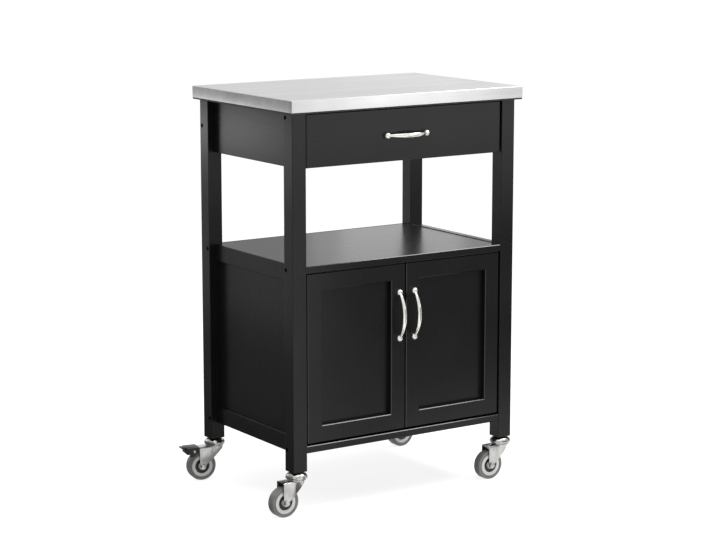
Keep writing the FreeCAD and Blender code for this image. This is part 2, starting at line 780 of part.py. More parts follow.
def door(side):
    """Two stiles and two rails around a thin panel let into a rabbet at the back."""
    sx = SIDES[side]
    member, thick = size.door_member, size.door_thickness
    cut_depth = 2 * size.door_panel_thickness
    panel_height = door_height - 2 * member + 2 * size.door_rabbet
    rabbet = (2 * size.door_rabbet, cut_depth, panel_height)
    stile = (member, thick, door_height)
    hinge_x = sx * (door_mid_x + (door_width - member) / 2)

    def outer_stile_edge(edge):
        return front_edge(edge) and sx * edge.CenterOfMass.x > member.value / 4

    def middle_stile_edge(edge):
        return front_edge(edge) and sx * edge.CenterOfMass.x < -member.value / 4

    hinge_stile = board(f"{side}_hinge_stile", (hinge_x, door_mid_y, door_mid_z), stile,
                        outer_stile_edge, hidden=True)
    middle_stile = board(f"{side}_middle_stile", (sx * stile_x, door_mid_y, door_mid_z), stile,
                         middle_stile_edge, hidden=True)
    cut_box(hinge_stile, (-sx * member / 2, thick / 2, 0), rabbet)
    cut_box(middle_stile, (sx * member / 2, thick / 2, 0), rabbet)
    pivot_spot = sx * (member / 2 - size.pivot_inset)
    bush_hole = size.bush_diameter + size.fastener_fit
    for up in (-1, 1):
        end = (pivot_spot, 0, up * door_height / 2)
        drill(hinge_stile, "Z", end, bush_hole, 2 * (size.bush_length + 1))
        spot = (0, 0, door_handle_z - door_mid_z + up * size.handle_spacing / 2)
        drill(middle_stile, "Y", spot, size.screw_diameter + size.fastener_fit, 2 * thick)

    rails = []
    rail_width = door_width - 2 * member
    for name, up in (("bottom", -1), ("top", 1)):

        def outer_rail_edge(edge):
            return front_edge(edge) and up * edge.CenterOfMass.z > member.value / 4

        at = (sx * door_mid_x, door_mid_y, door_mid_z + up * (door_height - member) / 2)
        rail = board(f"{side}_{name}_door_rail", at, (rail_width, thick, member),
                     outer_rail_edge, hidden=True)
        rabbet = (2 * rail_width, cut_depth, 2 * size.door_rabbet)
        cut_box(rail, (0, thick / 2, -up * member / 2), rabbet)
        rails.append(rail)
    gather(f"{side}_door_frame", [hinge_stile, middle_stile] + rails)

    panel_y = door_back_y - size.door_panel_thickness / 2
    extent = (rail_width + 2 * size.door_rabbet, size.door_panel_thickness, panel_height)
    sheet_board(f"{side}_door_panel", (sx * door_mid_x, panel_y, door_mid_z), extent)
    strike = (size.catch_width, size.strike_thickness, size.strike_height)
    strike_z = door_top - size.door_top_gap / 2 - size.strike_height / 2
    at = (sx * stile_x, door_back_y + size.strike_thickness / 2, strike_z)
    sheet_board(f"{side}_strike_plate", at, strike)


def pivots():
    """Pins in the cupboard floor and the shelf, and the bushes in the doors that turn on them."""
    pin_flange = size.door_bottom_gap - size.bush_flange - size.seat_play
    reach = size.pivot_reach
    low_pin = new_body("low_pivot_pin", hidden=True)
    rod(low_pin, "Z", (0, 0, size.door_bottom_gap / 2), size.pivot_diameter,
        2 * reach + size.door_bottom_gap)
    rod(low_pin, "Z", (0, 0, pin_flange / 2), size.flange_diameter, pin_flange)
    high_pin = new_body("high_pivot_pin", hidden=True)
    rod(high_pin, "Z", (0, 0, -size.door_top_gap / 2), size.pivot_diameter,
        2 * reach + size.door_top_gap)
    low_spots = [(sx * pivot_x, pivot_y, bottom_top, 0, Z_AXIS) for sx in SIDES.values()]
    high_spots = [(sx * pivot_x, pivot_y, shelf_low, 0, Z_AXIS) for sx in SIDES.values()]
    gather("door_pivot_pins", copies("low_pin_copy", low_pin, low_spots)
           + copies("high_pin_copy", high_pin, high_spots))

    bore = size.pivot_diameter + size.running_fit
    length = size.bush_length
    low_bush = new_body("low_bush", hidden=True)
    rod(low_bush, "Z", (0, 0, length / 2), size.bush_diameter, length)
    rod(low_bush, "Z", (0, 0, -size.bush_flange / 2), size.flange_diameter, size.bush_flange)
    drill(low_bush, "Z", (0, 0, 0), bore, 4 * length)
    high_bush = new_body("high_bush", hidden=True)
    rod(high_bush, "Z", (0, 0, -length / 2), size.bush_diameter, length)
    drill(high_bush, "Z", (0, 0, 0), bore, 4 * length)
    for side, sx in SIDES.items():
        low_spot = [(sx * pivot_x, pivot_y, door_low, 0, Z_AXIS)]
        high_spot = [(sx * pivot_x, pivot_y, door_top, 0, Z_AXIS)]
        gather(f"{side}_pivot_bushes", copies(f"{side}_low_bush", low_bush, low_spot)
               + copies(f"{side}_high_bush", high_bush, high_spot))


def magnetic_catches():
    """Two catches under the shelf that hold the doors shut by their strike plates."""
    body = new_body("magnetic_catch", hidden=True)
    extent = (size.catch_width, size.catch_depth, size.catch_height)
    box(body, (0, size.catch_depth / 2, -size.catch_height / 2), extent)
    y = door_back_y + size.strike_thickness + size.seat_play
    spots = [(sx * stile_x, y, shelf_low, 0, Z_AXIS) for sx in SIDES.values()]
    gather("magnetic_catches", copies("magnetic_catch_copy", body, spots))


# ---- handles ----
bow_radius = (size.handle_spacing * size.handle_spacing / 4
              + size.handle_rise * size.handle_rise) / (2 * size.handle_rise)


def handle(label, x, face_y, z, level=False):
    """A bow pull on two round feet; its origin is the centre of the bow's arc."""
    sink = bow_radius - size.handle_reach
    body = new_body(label)
    if level:
        body.Placement = FreeCAD.Placement(Vector(), Rotation(Y_AXIS, 90))
    place(body, x, face_y + sink, z)
    foot_y = -sink - size.foot_height / 2
    foot_face = -sink - size.foot_height
    for up in (-1, 1):
        spot = (0, foot_y, up * size.handle_spacing / 2)
        rod(body, "Y", spot, size.foot_diameter, size.foot_height)
    bevel(body, size.foot_round, lambda edge: edge.BoundBox.YMax < foot_face.value + 0.01)
    sketch = new_sketch(body, "XY_Plane", 0)
    half_w, half_t, cut = size.handle_width / 2, size.handle_bar / 2, size.handle_round
    corners = [(half_w, half_t - cut), (half_w - cut, half_t)]
    corners += [(-a, b) for a, b in reversed(corners)]
    corners += [(-a, -b) for a, b in corners]
    draw_polygon(sketch, [(a, b - bow_radius) for a, b in corners])
    bow = body.newObject("PartDesign::Revolution", f"{label}_bow")
    bow.Profile = sketch
    bow.ReferenceAxis = (sketch, ["H_Axis"])
    bow.Midplane = True
    bind(bow, "Angle", arc_angle(size.handle_spacing, bow_radius))
    for up in (-1, 1):
        spot = (0, -sink, up * size.handle_spacing / 2)
        hole = size.screw_diameter + size.fastener_fit
        drill(body, "Y", spot, hole, 2 * (size.screw_bite + 0.5))


def handle_screws(label, x, face_y, z, thick, level=False):
    """Two machine screws from behind a board into the feet of its handle."""
    body = new_body(f"{label}_pattern", hidden=True)
    shank = thick + size.screw_bite
    head = size.screw_head_height
    rod(body, "Y", (0, head / 2, 0), size.screw_head_diameter, head)
    rod(body, "Y", (0, -shank / 2, 0), size.screw_diameter, shank)
    spots = []
    for up in (-1, 1):
        along = up * size.handle_spacing / 2
        side_step, rise = (along, 0) if level else (0, along)
        spots.append((x + side_step, face_y + thick, z + rise, 0, Z_AXIS))
    gather(label, copies(f"{label}_copy", body, spots))


def handles():
    handle("drawer_handle", as_size(0), drawer_face_y, drawer_front_z, level=True)
    handle_screws("drawer_handle_screws", as_size(0), drawer_face_y, drawer_front_z,
                  size.drawer_front_thickness, level=True)
    for side, sx in SIDES.items():
        handle(f"{side}_door_handle", sx * stile_x, door_face_y, door_handle_z)
        handle_screws(f"{side}_door_handle_screws", sx * stile_x, door_face_y, door_handle_z,
                      size.door_thickness)


# ---- castors ----
wheel_x = -size.wheel_trail
wheel_z = size.wheel_diameter / 2
race_low = leg_low - size.stem_collar_height - size.race_height
crown_top = race_low - size.race_play
crown_low = crown_top - size.crown_height
fork_half = size.wheel_width / 2 + size.fork_side_play + size.fork_gauge
fork_inner = fork_half - size.fork_gauge
brake_pin_z = leg_low - size.brake_pin_drop
pedal_half = fork_half + size.pedal_play + size.pedal_gauge


def castor_stems():
    """Threaded stems in the legs, each with a collar, a race cap and a kingpin riveted below."""
    screw, collar = size.stem_diameter / 2, size.stem_collar_diameter / 2
    race, pin_head = size.race_diameter / 2, size.kingpin_head_diameter / 2
    under_collar = -size.stem_collar_height
    under_race = under_collar - size.race_height
    under_fork = under_race - size.race_play - size.crown_height - size.fork_gauge - size.race_play
    outline = [(0, size.stem_length), (screw, size.stem_length), (screw, 0), (collar, 0),
               (collar, under_collar), (race * 0.6, under_collar),
               (race * 0.9, under_collar - size.race_height * 0.3),
               (race, under_collar - size.race_height * 0.7), (race, under_race),
               (screw, under_race), (screw, under_fork), (pin_head, under_fork),
               (pin_head, under_fork - size.kingpin_head_height),
               (0, under_fork - size.kingpin_head_height)]
    body = new_body("castor_stem", hidden=True)
    turn(body, outline)
    spots = [(sx * leg_x, y, leg_low, 0, Z_AXIS)
             for sx in SIDES.values() for y in (front_leg_y, back_leg_y)]
    gather("castor_stems", copies("castor_stem_copy", body, spots))


def castor(end, side):
    """A pressed fork that swivels under a leg, and a wheel that trails behind its kingpin."""
    sx = SIDES[side]
    y = back_leg_y if end == "back" else front_leg_y
    turned = end == "back" and side == "left"

    def castor_body(name, hidden=False):
        body = new_body(f"{end}_{side}_{name}", sx * leg_x, y, 0, hidden)
        if turned:
            bind(body, "Placement.Rotation.Angle", -size.rear_castor_turn)
        return body

    shell = castor_body("fork_shell", hidden=True)
    fork_shell(shell, braked=end == "back")
    axle = castor_body("axle", hidden=True)
    rivet(axle, wheel_x, wheel_z, size.axle_diameter, size.axle_head_diameter,
          size.axle_head_height, fork_half)
    members = [shell, axle]
    if end == "back":
        pin = castor_body("brake_pin", hidden=True)
        rivet(pin, -size.brake_pin_back, brake_pin_z, size.brake_pin_diameter,
              size.brake_pin_head, size.brake_pin_head_height, pedal_half + size.pedal_play)
        members.append(pin)
        brake_pedal(castor_body("brake_pedal"))
    gather(f"{end}_{side}_castor_fork", members)
    wheel(castor_body("tyre"), castor_body("hub"))


def fork_shell(body, braked):
    heel_x, web_x = wheel_x - size.fork_heel, size.fork_front - fork_half
    heel_z = wheel_z - size.fork_heel
    height, mid_z = crown_low - heel_z, (crown_low + heel_z) / 2
    box(body, ((heel_x + web_x) / 2, 0, mid_z), (web_x - heel_x, 2 * fork_half, height))
    rod(body, "Z", (web_x, 0, mid_z), 2 * fork_half, height)
    pin_x, ear = -size.brake_pin_back, size.brake_ear
    if braked:
        at = ((heel_x + pin_x - ear) / 2, 0, brake_pin_z)
        box(body, at, (heel_x - pin_x + ear, 2 * fork_half, 2 * ear))
    # Hollow the shell, leaving the top closed except between the brake's ears.
    at = ((heel_x + web_x) / 2, 0, mid_z - size.fork_gauge)
    cut_box(body, at, (web_x - heel_x, 2 * fork_inner, height))
    drill(body, "Z", (web_x, 0, mid_z - size.fork_gauge), 2 * fork_inner, height)
    if braked:
        at = ((heel_x + pin_x - ear) / 2, 0, mid_z)
        cut_box(body, at, (heel_x - pin_x + ear + 1, 2 * fork_inner, 2 * height))
    # Cut the cheeks away in front of the wheel's axle, up to the lip of the front web.
    cheek_x, knee_x = wheel_x + size.fork_heel, -size.fork_knee_back
    knee_z = wheel_z + size.fork_knee_rise
    beyond, below = size.fork_front + 1, heel_z - 1
    outline = [(cheek_x, below), (cheek_x, wheel_z), (knee_x, knee_z),
               (beyond, crown_low - size.fork_lip), (beyond, below)]
    prism(body, "Y", 0, outline, 4 * fork_half, "PartDesign::Pocket")
    soften(body, size.fork_heel_round,
           lambda edge: edge.BoundBox.ZMax < heel_z.value + 0.01 and across(edge))
    if braked:
        back_x = (pin_x - ear).value
        soften(body, 0.8 * ear, lambda edge: edge.BoundBox.XMax < back_x + 0.01 and across(edge))
    rod(body, "Z", (0, 0, crown_low + size.crown_height / 2), size.crown_diameter,
        size.crown_height)
    soften(body, 0.4 * size.crown_height, lambda edge: edge.BoundBox.ZMin > crown_top.value - 0.01)
    drill(body, "Z", (0, 0, crown_low), size.stem_diameter + size.running_fit,
          4 * size.crown_height)
    hole = size.axle_diameter + size.fastener_fit
    drill(body, "Y", (wheel_x, 0, wheel_z), hole, 4 * fork_half)
    if braked:
        hole = size.brake_pin_diameter + size.fastener_fit
        drill(body, "Y", (pin_x, 0, brake_pin_z), hole, 4 * fork_half)


def across(edge):
    """Whether an edge runs along Y."""
    return edge.BoundBox.YLength > 0.99 * edge.Length


def rivet(body, x, z, diameter, head_diameter, head_height, half_length):
    """A pin across the fork with a head at each end."""
    rod(body, "Y", (x, 0, z), diameter, 2 * half_length)
    for sy in ENDS.values():
        at = (x, sy * (half_length + head_height / 2), z)
        rod(body, "Y", at, head_diameter, head_height)
    reach = (half_length + head_height).value
    soften(body, 0.4 * head_height,
           lambda edge: abs(edge.CenterOfMass.y) > reach - 0.01)


def wheel(tyre, hub):
    at, width = (wheel_x, 0, wheel_z), size.wheel_width
    rod(tyre, "Y", at, size.wheel_diameter, width)
    soften(tyre, size.tyre_round)
    drill(tyre, "Y", at, size.hub_diameter, 2 * width)
    rod(hub, "Y", at, size.hub_diameter, width)
    for sy in ENDS.values():
        side = (wheel_x, sy * width / 2, wheel_z)
        drill(hub, "Y", side, size.hub_recess_diameter, 2 * size.hub_recess)
    boss_width = 2 * (fork_inner - size.wheel_side_play)
    rod(hub, "Y", at, size.hub_boss_diameter, boss_width)
    drill(hub, "Y", at, size.axle_diameter + size.running_fit, 2 * width)


def brake_pedal(body):
    """A moulded lever whose cheeks straddle the fork's ears, with a shoe that swings onto the tyre."""
    pin_x, pin_z = -size.brake_pin_back, brake_pin_z
    front_x, back_x = pin_x + size.pedal_front, pin_x - size.pedal_back
    half_hub, drop = size.pedal_hub / 2, size.shoe_drop
    roof_z = pin_z + size.pedal_roof
    top_z = roof_z + size.pedal_gauge
    cheek = [(front_x, top_z), (back_x, top_z), (back_x, pin_z - 0.5 * drop),
             (pin_x - 0.6 * size.pedal_back, pin_z - 0.6 * drop),
             (pin_x - 0.5 * size.pedal_back, pin_z - 1.2 * drop), (pin_x, pin_z - 1.1 * drop),
             (front_x, pin_z - 0.3 * drop)]
    prism(body, "Y", 0, cheek, 2 * pedal_half)
    slot_x, slot_z = pin_x - 1.7 * size.brake_ear, pin_z - 2 * drop
    at = ((slot_x + front_x + 1) / 2, 0, (slot_z + roof_z) / 2)
    cut_box(body, at, (front_x + 1 - slot_x, 2 * (fork_half + size.pedal_play), roof_z - slot_z))
    tip_x, tip_z = -size.pedal_reach, pin_z + size.pedal_rise
    tread = [(front_x, top_z), (tip_x, tip_z), (tip_x, tip_z - size.pedal_tip),
             (back_x, pin_z + half_hub), (pin_x + half_hub, pin_z), (front_x, roof_z)]
    prism(body, "Y", 0, tread, size.pedal_width)
    rod(body, "Y", (pin_x, 0, pin_z), size.pedal_hub, size.pedal_width)
    shoe = [(pin_x - half_hub, pin_z), (pin_x - size.shoe_back, pin_z - 0.9 * drop),
            (pin_x - 0.4 * size.shoe_back, pin_z - drop),
            (pin_x + 0.4 * half_hub, pin_z - 0.6 * drop), (pin_x + half_hub - 0.5, pin_z)]
    prism(body, "Y", 0, shoe, size.pedal_width * 0.8)
    drill(body, "Y", (pin_x, 0, pin_z), size.brake_pin_diameter + size.running_fit,
          4 * pedal_half)


# ---- the whole stand ----
def build():
    worktop()
    for side in SIDES:
        for end in ENDS:
            leg(end, side)
            castor(end, side)
        side_frame(side)
        door(side)
    cross_members()
    back_panel()
    frame_bolts()
    worktop_fixings()
    drawer_box()
    drawer_slides()
    pivots()
    magnetic_catches()
    handles()
    castor_stems()


def finish():
    """Checks every object and writes one STEP file per node."""
    doc.recompute()
    for obj in doc.Objects:
        if {"Invalid", "Error"} & set(obj.State):
            raise RuntimeError(f"{obj.Label}: {obj.State}")
    os.makedirs("parts", exist_ok=True)
    for obj in subparts:
        if obj.Shape.isNull() or not obj.Shape.isValid():
            raise RuntimeError(f"{obj.Label} has no valid shape")
        obj.Shape.exportStep(f"parts/{obj.Label}.step")


build()
finish()
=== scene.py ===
import json
import math

import bmesh
import bpy
from mathutils import Matrix, Vector


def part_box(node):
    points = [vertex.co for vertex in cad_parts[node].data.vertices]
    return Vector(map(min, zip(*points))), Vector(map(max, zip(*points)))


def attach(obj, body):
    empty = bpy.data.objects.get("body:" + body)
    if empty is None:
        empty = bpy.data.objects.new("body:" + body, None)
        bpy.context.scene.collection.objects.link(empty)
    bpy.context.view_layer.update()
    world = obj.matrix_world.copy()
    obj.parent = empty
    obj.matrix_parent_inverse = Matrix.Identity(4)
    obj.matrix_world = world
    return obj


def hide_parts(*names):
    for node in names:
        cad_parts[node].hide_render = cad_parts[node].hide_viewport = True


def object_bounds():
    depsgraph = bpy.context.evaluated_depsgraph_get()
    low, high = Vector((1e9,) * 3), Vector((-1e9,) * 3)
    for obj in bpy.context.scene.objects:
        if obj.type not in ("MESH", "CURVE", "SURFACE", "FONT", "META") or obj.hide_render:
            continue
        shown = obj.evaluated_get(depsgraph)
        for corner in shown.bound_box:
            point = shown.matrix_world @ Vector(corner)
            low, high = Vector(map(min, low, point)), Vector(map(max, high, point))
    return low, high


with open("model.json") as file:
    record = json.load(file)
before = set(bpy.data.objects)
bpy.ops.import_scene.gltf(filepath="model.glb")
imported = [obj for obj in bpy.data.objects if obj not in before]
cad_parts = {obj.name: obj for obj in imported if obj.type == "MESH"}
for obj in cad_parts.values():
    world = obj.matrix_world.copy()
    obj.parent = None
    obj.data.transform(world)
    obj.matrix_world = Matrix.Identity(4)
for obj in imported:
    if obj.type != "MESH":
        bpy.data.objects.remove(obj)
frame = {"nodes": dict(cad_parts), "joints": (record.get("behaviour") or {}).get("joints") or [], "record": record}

CAD_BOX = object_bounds()
MM = 0.001
NODES = frame["nodes"]
SIDES = {"left": -1, "right": 1}
ENDS = {"front": -1, "back": 1}


def middle(node):
    low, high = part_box(node)
    return (Vector(low) + Vector(high)) / 2


def extent(node):
    low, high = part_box(node)
    return Vector(high) - Vector(low)


# ---------------------------------------------------------------- materials

def new_material(name):
    """An empty node material, with its node tree and its surface shader."""
    material = bpy.data.materials.new(name)
    material.use_nodes = True
    tree = material.node_tree
    tree.nodes.clear()
    output = tree.nodes.new("ShaderNodeOutputMaterial")
    surface = tree.nodes.new("ShaderNodeBsdfPrincipled")
    tree.links.new(surface.outputs[0], output.inputs[0])
    return material, tree, surface


def pattern(tree, kind, stretch, turn=(0, 0, 0), **settings):
    """A procedural pattern in the object's own coordinates, stretched and turned."""
    place = tree.nodes.new("ShaderNodeTexCoord")
    mapping = tree.nodes.new("ShaderNodeMapping")
    mapping.inputs["Scale"].default_value = stretch
    mapping.inputs["Rotation"].default_value = turn
    tree.links.new(place.outputs["Object"], mapping.inputs["Vector"])
    texture = tree.nodes.new(kind)
    for key, number in settings.items():
        texture.inputs[key].default_value = number
    tree.links.new(mapping.outputs["Vector"], texture.inputs["Vector"])
    return texture


def noise(tree, stretch, detail=3.0, rough=0.5, distortion=0.0):
    """Soft cloudy noise, as a number."""
    texture = pattern(tree, "ShaderNodeTexNoise", stretch, Scale=1.0, Detail=detail, Roughness=rough,
                      Distortion=distortion)
    return texture.outputs["Fac"]


def to_range(tree, source, low, high, start=0.3, stop=0.7):
    """A number that goes from low to high as the source does from start to stop."""
    node = tree.nodes.new("ShaderNodeMapRange")
    node.inputs["From Min"].default_value = start
    node.inputs["From Max"].default_value = stop
    node.inputs["To Min"].default_value = low
    node.inputs["To Max"].default_value = high
    tree.links.new(source, node.inputs["Value"])
    return node.outputs["Result"]


def blend(tree, source, first, second, start=0.3, stop=0.7):
    """A colour that goes from first to second as the source does from start to stop."""
    ramp = tree.nodes.new("ShaderNodeValToRGB")
    ramp.color_ramp.elements[0].position = start
    ramp.color_ramp.elements[0].color = (*first, 1)
    ramp.color_ramp.elements[1].position = stop
    ramp.color_ramp.elements[1].color = (*second, 1)
    tree.links.new(source, ramp.inputs["Fac"])
    return ramp.outputs["Color"]


def bump(tree, surface, source, height, strength=1.0, under=None):
    """Relief of a height in metres, on top of another relief if one is given."""
    node = tree.nodes.new("ShaderNodeBump")
    node.inputs["Distance"].default_value = height
    node.inputs["Strength"].default_value = strength
    tree.links.new(source, node.inputs["Height"])
    if under is not None:
        tree.links.new(under, node.inputs["Normal"])
    tree.links.new(node.outputs["Normal"], surface.inputs["Normal"])
    return node.outputs["Normal"]


def along(axis, length, across):
    """Pattern frequencies for streaks: long along one axis and fine across it."""
    return tuple(length if i == axis else across for i in range(3))


def lacquer(axis, name="black lacquer", rough=0.27, ior=1.33):
    """Satin black lacquer on wood, with the grain along one axis faintly telegraphing through."""
    material, tree, surface = new_material(f"{name} {'xyz'[axis]}")
    grain = noise(tree, along(axis, 9, 330), detail=4, rough=0.6, distortion=0.4)
    cloud = noise(tree, (7, 7, 7), detail=2)
    peel = noise(tree, (420, 420, 420), detail=1)
    tint = blend(tree, cloud, (0.0070, 0.0068, 0.0070), (0.0105, 0.0101, 0.0102))
    tree.links.new(tint, surface.inputs["Base Color"])
    tree.links.new(to_range(tree, grain, rough, rough + 0.02), surface.inputs["Roughness"])
    surface.inputs["IOR"].default_value = ior
    first = bump(tree, surface, grain, 0.00002, 0.045)
    bump(tree, surface, peel, 0.00002, 0.12, first)
    return material


def foil(name, dark, light, rough=0.5):
    """Board faced with a dark foil: a fine even texture."""
    material, tree, surface = new_material(name)
    fine = noise(tree, (600, 600, 600), detail=2)
    cloud = noise(tree, (12, 12, 12), detail=3)
    tree.links.new(blend(tree, cloud, dark, light), surface.inputs["Base Color"])
    tree.links.new(to_range(tree, fine, rough - 0.06, rough + 0.06), surface.inputs["Roughness"])
    bump(tree, surface, fine, 0.00005, 0.4)
    return material


def shadow_line_chipboard():
    """Near-black chipboard, its chips still showing through as low relief. Its black is partly the board's own
    dark finish and partly painted shade, for the shadow line under the worktop's steel flange.
    """
    material, tree, surface = new_material("near-black chipboard with painted shadow line")
    chips = pattern(tree, "ShaderNodeTexVoronoi", (420, 260, 420), Scale=1.0, Randomness=1.0)
    speck = noise(tree, (900, 900, 900), detail=3)
    tint = blend(tree, chips.outputs["Color"], (0.010, 0.009, 0.008), (0.030, 0.026, 0.022), 0.1, 0.9)
    tree.links.new(tint, surface.inputs["Base Color"])
    tree.links.new(to_range(tree, speck, 0.55, 0.75), surface.inputs["Roughness"])
    bump(tree, surface, speck, 0.0002, 0.5)
    return material


def brushed_sheet():
    """Stainless sheet brushed along its width."""
    material, tree, surface = new_material("brushed stainless sheet")
    streak = noise(tree, (4, 900, 900), detail=5, rough=0.65)
    broad = noise(tree, (1.5, 60, 60), detail=2)
    smear = noise(tree, (9, 9, 9), detail=2)
    tree.links.new(blend(tree, broad, (0.50, 0.50, 0.50), (0.57, 0.57, 0.567)),
                   surface.inputs["Base Color"])
    surface.inputs["Metallic"].default_value = 1.0
    tree.links.new(to_range(tree, smear, 0.30, 0.38), surface.inputs["Roughness"])
    bump(tree, surface, streak, 0.00003, 0.5)
    return material


def metal(name, dark, light, rough, fine=300, height=0.00002, streak=None):
    """Plated or polished metal, with an even grit or streaks left by its forming."""
    material, tree, surface = new_material(name)
    grit = noise(tree, streak or (fine, fine, fine), detail=3)
    cloud = noise(tree, (45, 45, 45), detail=2)
    tree.links.new(blend(tree, cloud, dark, light), surface.inputs["Base Color"])
    surface.inputs["Metallic"].default_value = 1.0
    tree.links.new(to_range(tree, grit, rough - 0.05, rough + 0.07), surface.inputs["Roughness"])
    bump(tree, surface, grit, height, 0.5)
    return material


def moulded(name, dark, light, rough, fine=700, height=0.00004):
    """Moulded plastic or rubber with a fine skin."""
    material, tree, surface = new_material(name)
    skin = noise(tree, (fine, fine, fine), detail=3)
    cloud = noise(tree, (60, 60, 60), detail=2)
    tree.links.new(blend(tree, cloud, dark, light), surface.inputs["Base Color"])
    tree.links.new(to_range(tree, skin, rough - 0.06, rough + 0.06), surface.inputs["Roughness"])
    bump(tree, surface, skin, height, 0.5)
    return material


LACQUER = [lacquer(axis) for axis in range(3)]
BURNISHED = [lacquer(axis, "burnished lacquer", 0.13, 1.5) for axis in range(3)]
FINISHES = {
    "black_lacquer": LACQUER[2],
    "steel_skin": brushed_sheet(),
    # the worktop's core: near-black, partly painted shade for the shadow line under the steel flange
    "core_board": shadow_line_chipboard(),
    "back_board": foil("black-faced hardboard", (0.016, 0.016, 0.017), (0.024, 0.024, 0.025)),
    "drawer_board": foil("black-foiled board", (0.022, 0.022, 0.023), (0.032, 0.032, 0.033), 0.45),
    "slide_steel": metal("zinc-plated slide steel", (0.50, 0.51, 0.53), (0.60, 0.61, 0.63), 0.35),
    "handle_metal": metal("satin nickel", (0.70, 0.68, 0.65), (0.78, 0.76, 0.73), 0.18, fine=900,
                          height=0.000002),
    "black_bolt": metal("black oxide", (0.005, 0.005, 0.005), (0.010, 0.010, 0.010), 0.45),
    "screw_steel": metal("bright zinc", (0.58, 0.58, 0.57), (0.68, 0.68, 0.66), 0.28),
    "catch_plastic": moulded("off-white nylon", (0.66, 0.65, 0.60), (0.74, 0.73, 0.69), 0.42),
    "castor_zinc": metal("zinc-plated pressed steel", (0.38, 0.375, 0.365), (0.54, 0.53, 0.515), 0.17,
                         height=0.00002, streak=(240, 240, 24)),
    "tyre_rubber": moulded("grey rubber", (0.20, 0.202, 0.186), (0.255, 0.257, 0.24), 0.45),
    "hub_plastic": moulded("light grey nylon", (0.78, 0.78, 0.77), (0.85, 0.85, 0.84), 0.30),
    "pedal_plastic": moulded("black nylon", (0.012, 0.012, 0.013), (0.020, 0.020, 0.021), 0.42),
}
SLOT_OF = {row["node"]: row["material_slot"] for row in frame["record"]["subparts"]}


# the doors' pivot pins and bushes are blacked, so that the gaps round the doors stay dark
PIVOT_FINISH = "black_bolt"


def give(obj, material):
    obj.data.materials.clear()
    obj.data.materials.append(material)


def finish_nodes():
    """Every carried-over node gets its finish; lacquered boards get grain along their length."""
    for node, obj in NODES.items():
        slot = SLOT_OF[node]
        if slot == "black_lacquer":
            size = extent(node)
            longest = max(range(3), key=lambda i: size[i])
            material = LACQUER[longest]
        else:
            material = FINISHES[PIVOT_FINISH if "pivot" in node else slot]
        give(obj, material)


# ---------------------------------------------------------------- pieces

def add_piece(name, bm, body, slot, replaced=(), smooth=True):
    """Turns a finished bmesh into a piece on a body."""
    bmesh.ops.recalc_face_normals(bm, faces=bm.faces)
    mesh = bpy.data.meshes.new(name)
    bm.to_mesh(mesh)
    bm.free()
    obj = bpy.data.objects.new(name, mesh)
    bpy.context.scene.collection.objects.link(obj)
    if smooth:
        mesh.shade_smooth()
        mesh.set_sharp_from_angle(angle=math.radians(35))
    else:
        mesh.shade_flat()
    give(obj, FINISHES[slot])
    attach(obj, body)
    if replaced:
        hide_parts(*replaced)
    return obj


def merged(*parts):
    """One bmesh holding all the parts, which are freed."""
    whole = bmesh.new()
    for part in parts:
        bmesh.ops.recalc_face_normals(part, faces=part.faces)
        mesh = bpy.data.meshes.new("part")
        part.to_mesh(mesh)
        part.free()
        whole.from_mesh(mesh)
        bpy.data.meshes.remove(mesh)
    return whole


def moved(bm, matrix):
    bmesh.ops.transform(bm, matrix=matrix, verts=bm.verts)
    return bm


def arc(centre_r, centre_h, radius, start, stop, steps=6):
    """Points of an arc in a turning profile, its angles in degrees."""
    points = []
    for i in range(steps + 1):
        angle = math.radians(start + (stop - start) * i / steps)
        points.append((centre_r + radius * math.cos(angle), centre_h + radius * math.sin(angle)))
    return points


def turned(profile, closed=False, steps=64):
    """Spins a profile of (radius, height) points in millimetres about Z."""
    bm = bmesh.new()
    verts = [bm.verts.new((r * MM, 0, h * MM)) for r, h in profile]
    pairs = list(zip(verts, verts[1:]))
    if closed:
        pairs.append((verts[-1], verts[0]))
    edges = [bm.edges.new(pair) for pair in pairs]
    bmesh.ops.spin(bm, geom=verts + edges, cent=(0, 0, 0), axis=(0, 0, 1), dvec=(0, 0, 0),
                   angle=2 * math.pi, steps=steps, use_merge=True)
    bmesh.ops.remove_doubles(bm, verts=bm.verts, dist=0.000001)
    return bm


def softened(bm, width, segments=2, angle=30, shortest=0.0):
    """Rounds every edge that is sharper than an angle, leaving out the shortest ones."""
    limit = math.radians(angle)
    edges = [e for e in bm.edges if len(e.link_faces) == 2 and e.calc_face_angle(0) > limit
             and e.calc_length() >= shortest * MM]
    bmesh.ops.bevel(bm, geom=edges, offset=width * MM, segments=segments, profile=0.5,
                    affect="EDGES", material=-1, clamp_overlap=True)
    return bm


def block(size, at=(0, 0, 0), rounding=0.0):
    """A rectangular block in millimetres, with rounded edges."""
    bm = bmesh.new()
    bmesh.ops.create_cube(bm, size=1)
    bmesh.ops.scale(bm, vec=Vector(size) * MM, verts=bm.verts)
    if rounding:
        softened(bm, rounding, 3)
    return moved(bm, Matrix.Translation(Vector(at) * MM))


def slab(outline, width, rounding=0.0, segments=3):
    """A plate with an outline of (x, z) points in millimetres, centred across Y."""
    bm = bmesh.new()
    verts = [bm.verts.new((x * MM, -width / 2 * MM, z * MM)) for x, z in outline]
    face = bm.faces.new(verts)
    grown = bmesh.ops.extrude_face_region(bm, geom=[face])
    far = [v for v in grown["geom"] if isinstance(v, bmesh.types.BMVert)]
    bmesh.ops.translate(bm, vec=(0, width * MM, 0), verts=far)
    bmesh.ops.recalc_face_normals(bm, faces=bm.faces)
    if rounding:
        softened(bm, rounding, segments)
    return bm


# ---- worktop ----
SHEET_GAUGE, FOLD = 1.0, 1.6                        # the sheet's thickness and its folds' setback
SEAM_LAP, SEAM_WIDTH, SEAM_DEPTH = 6.5, 0.5, 0.6    # the butt seam near each corner


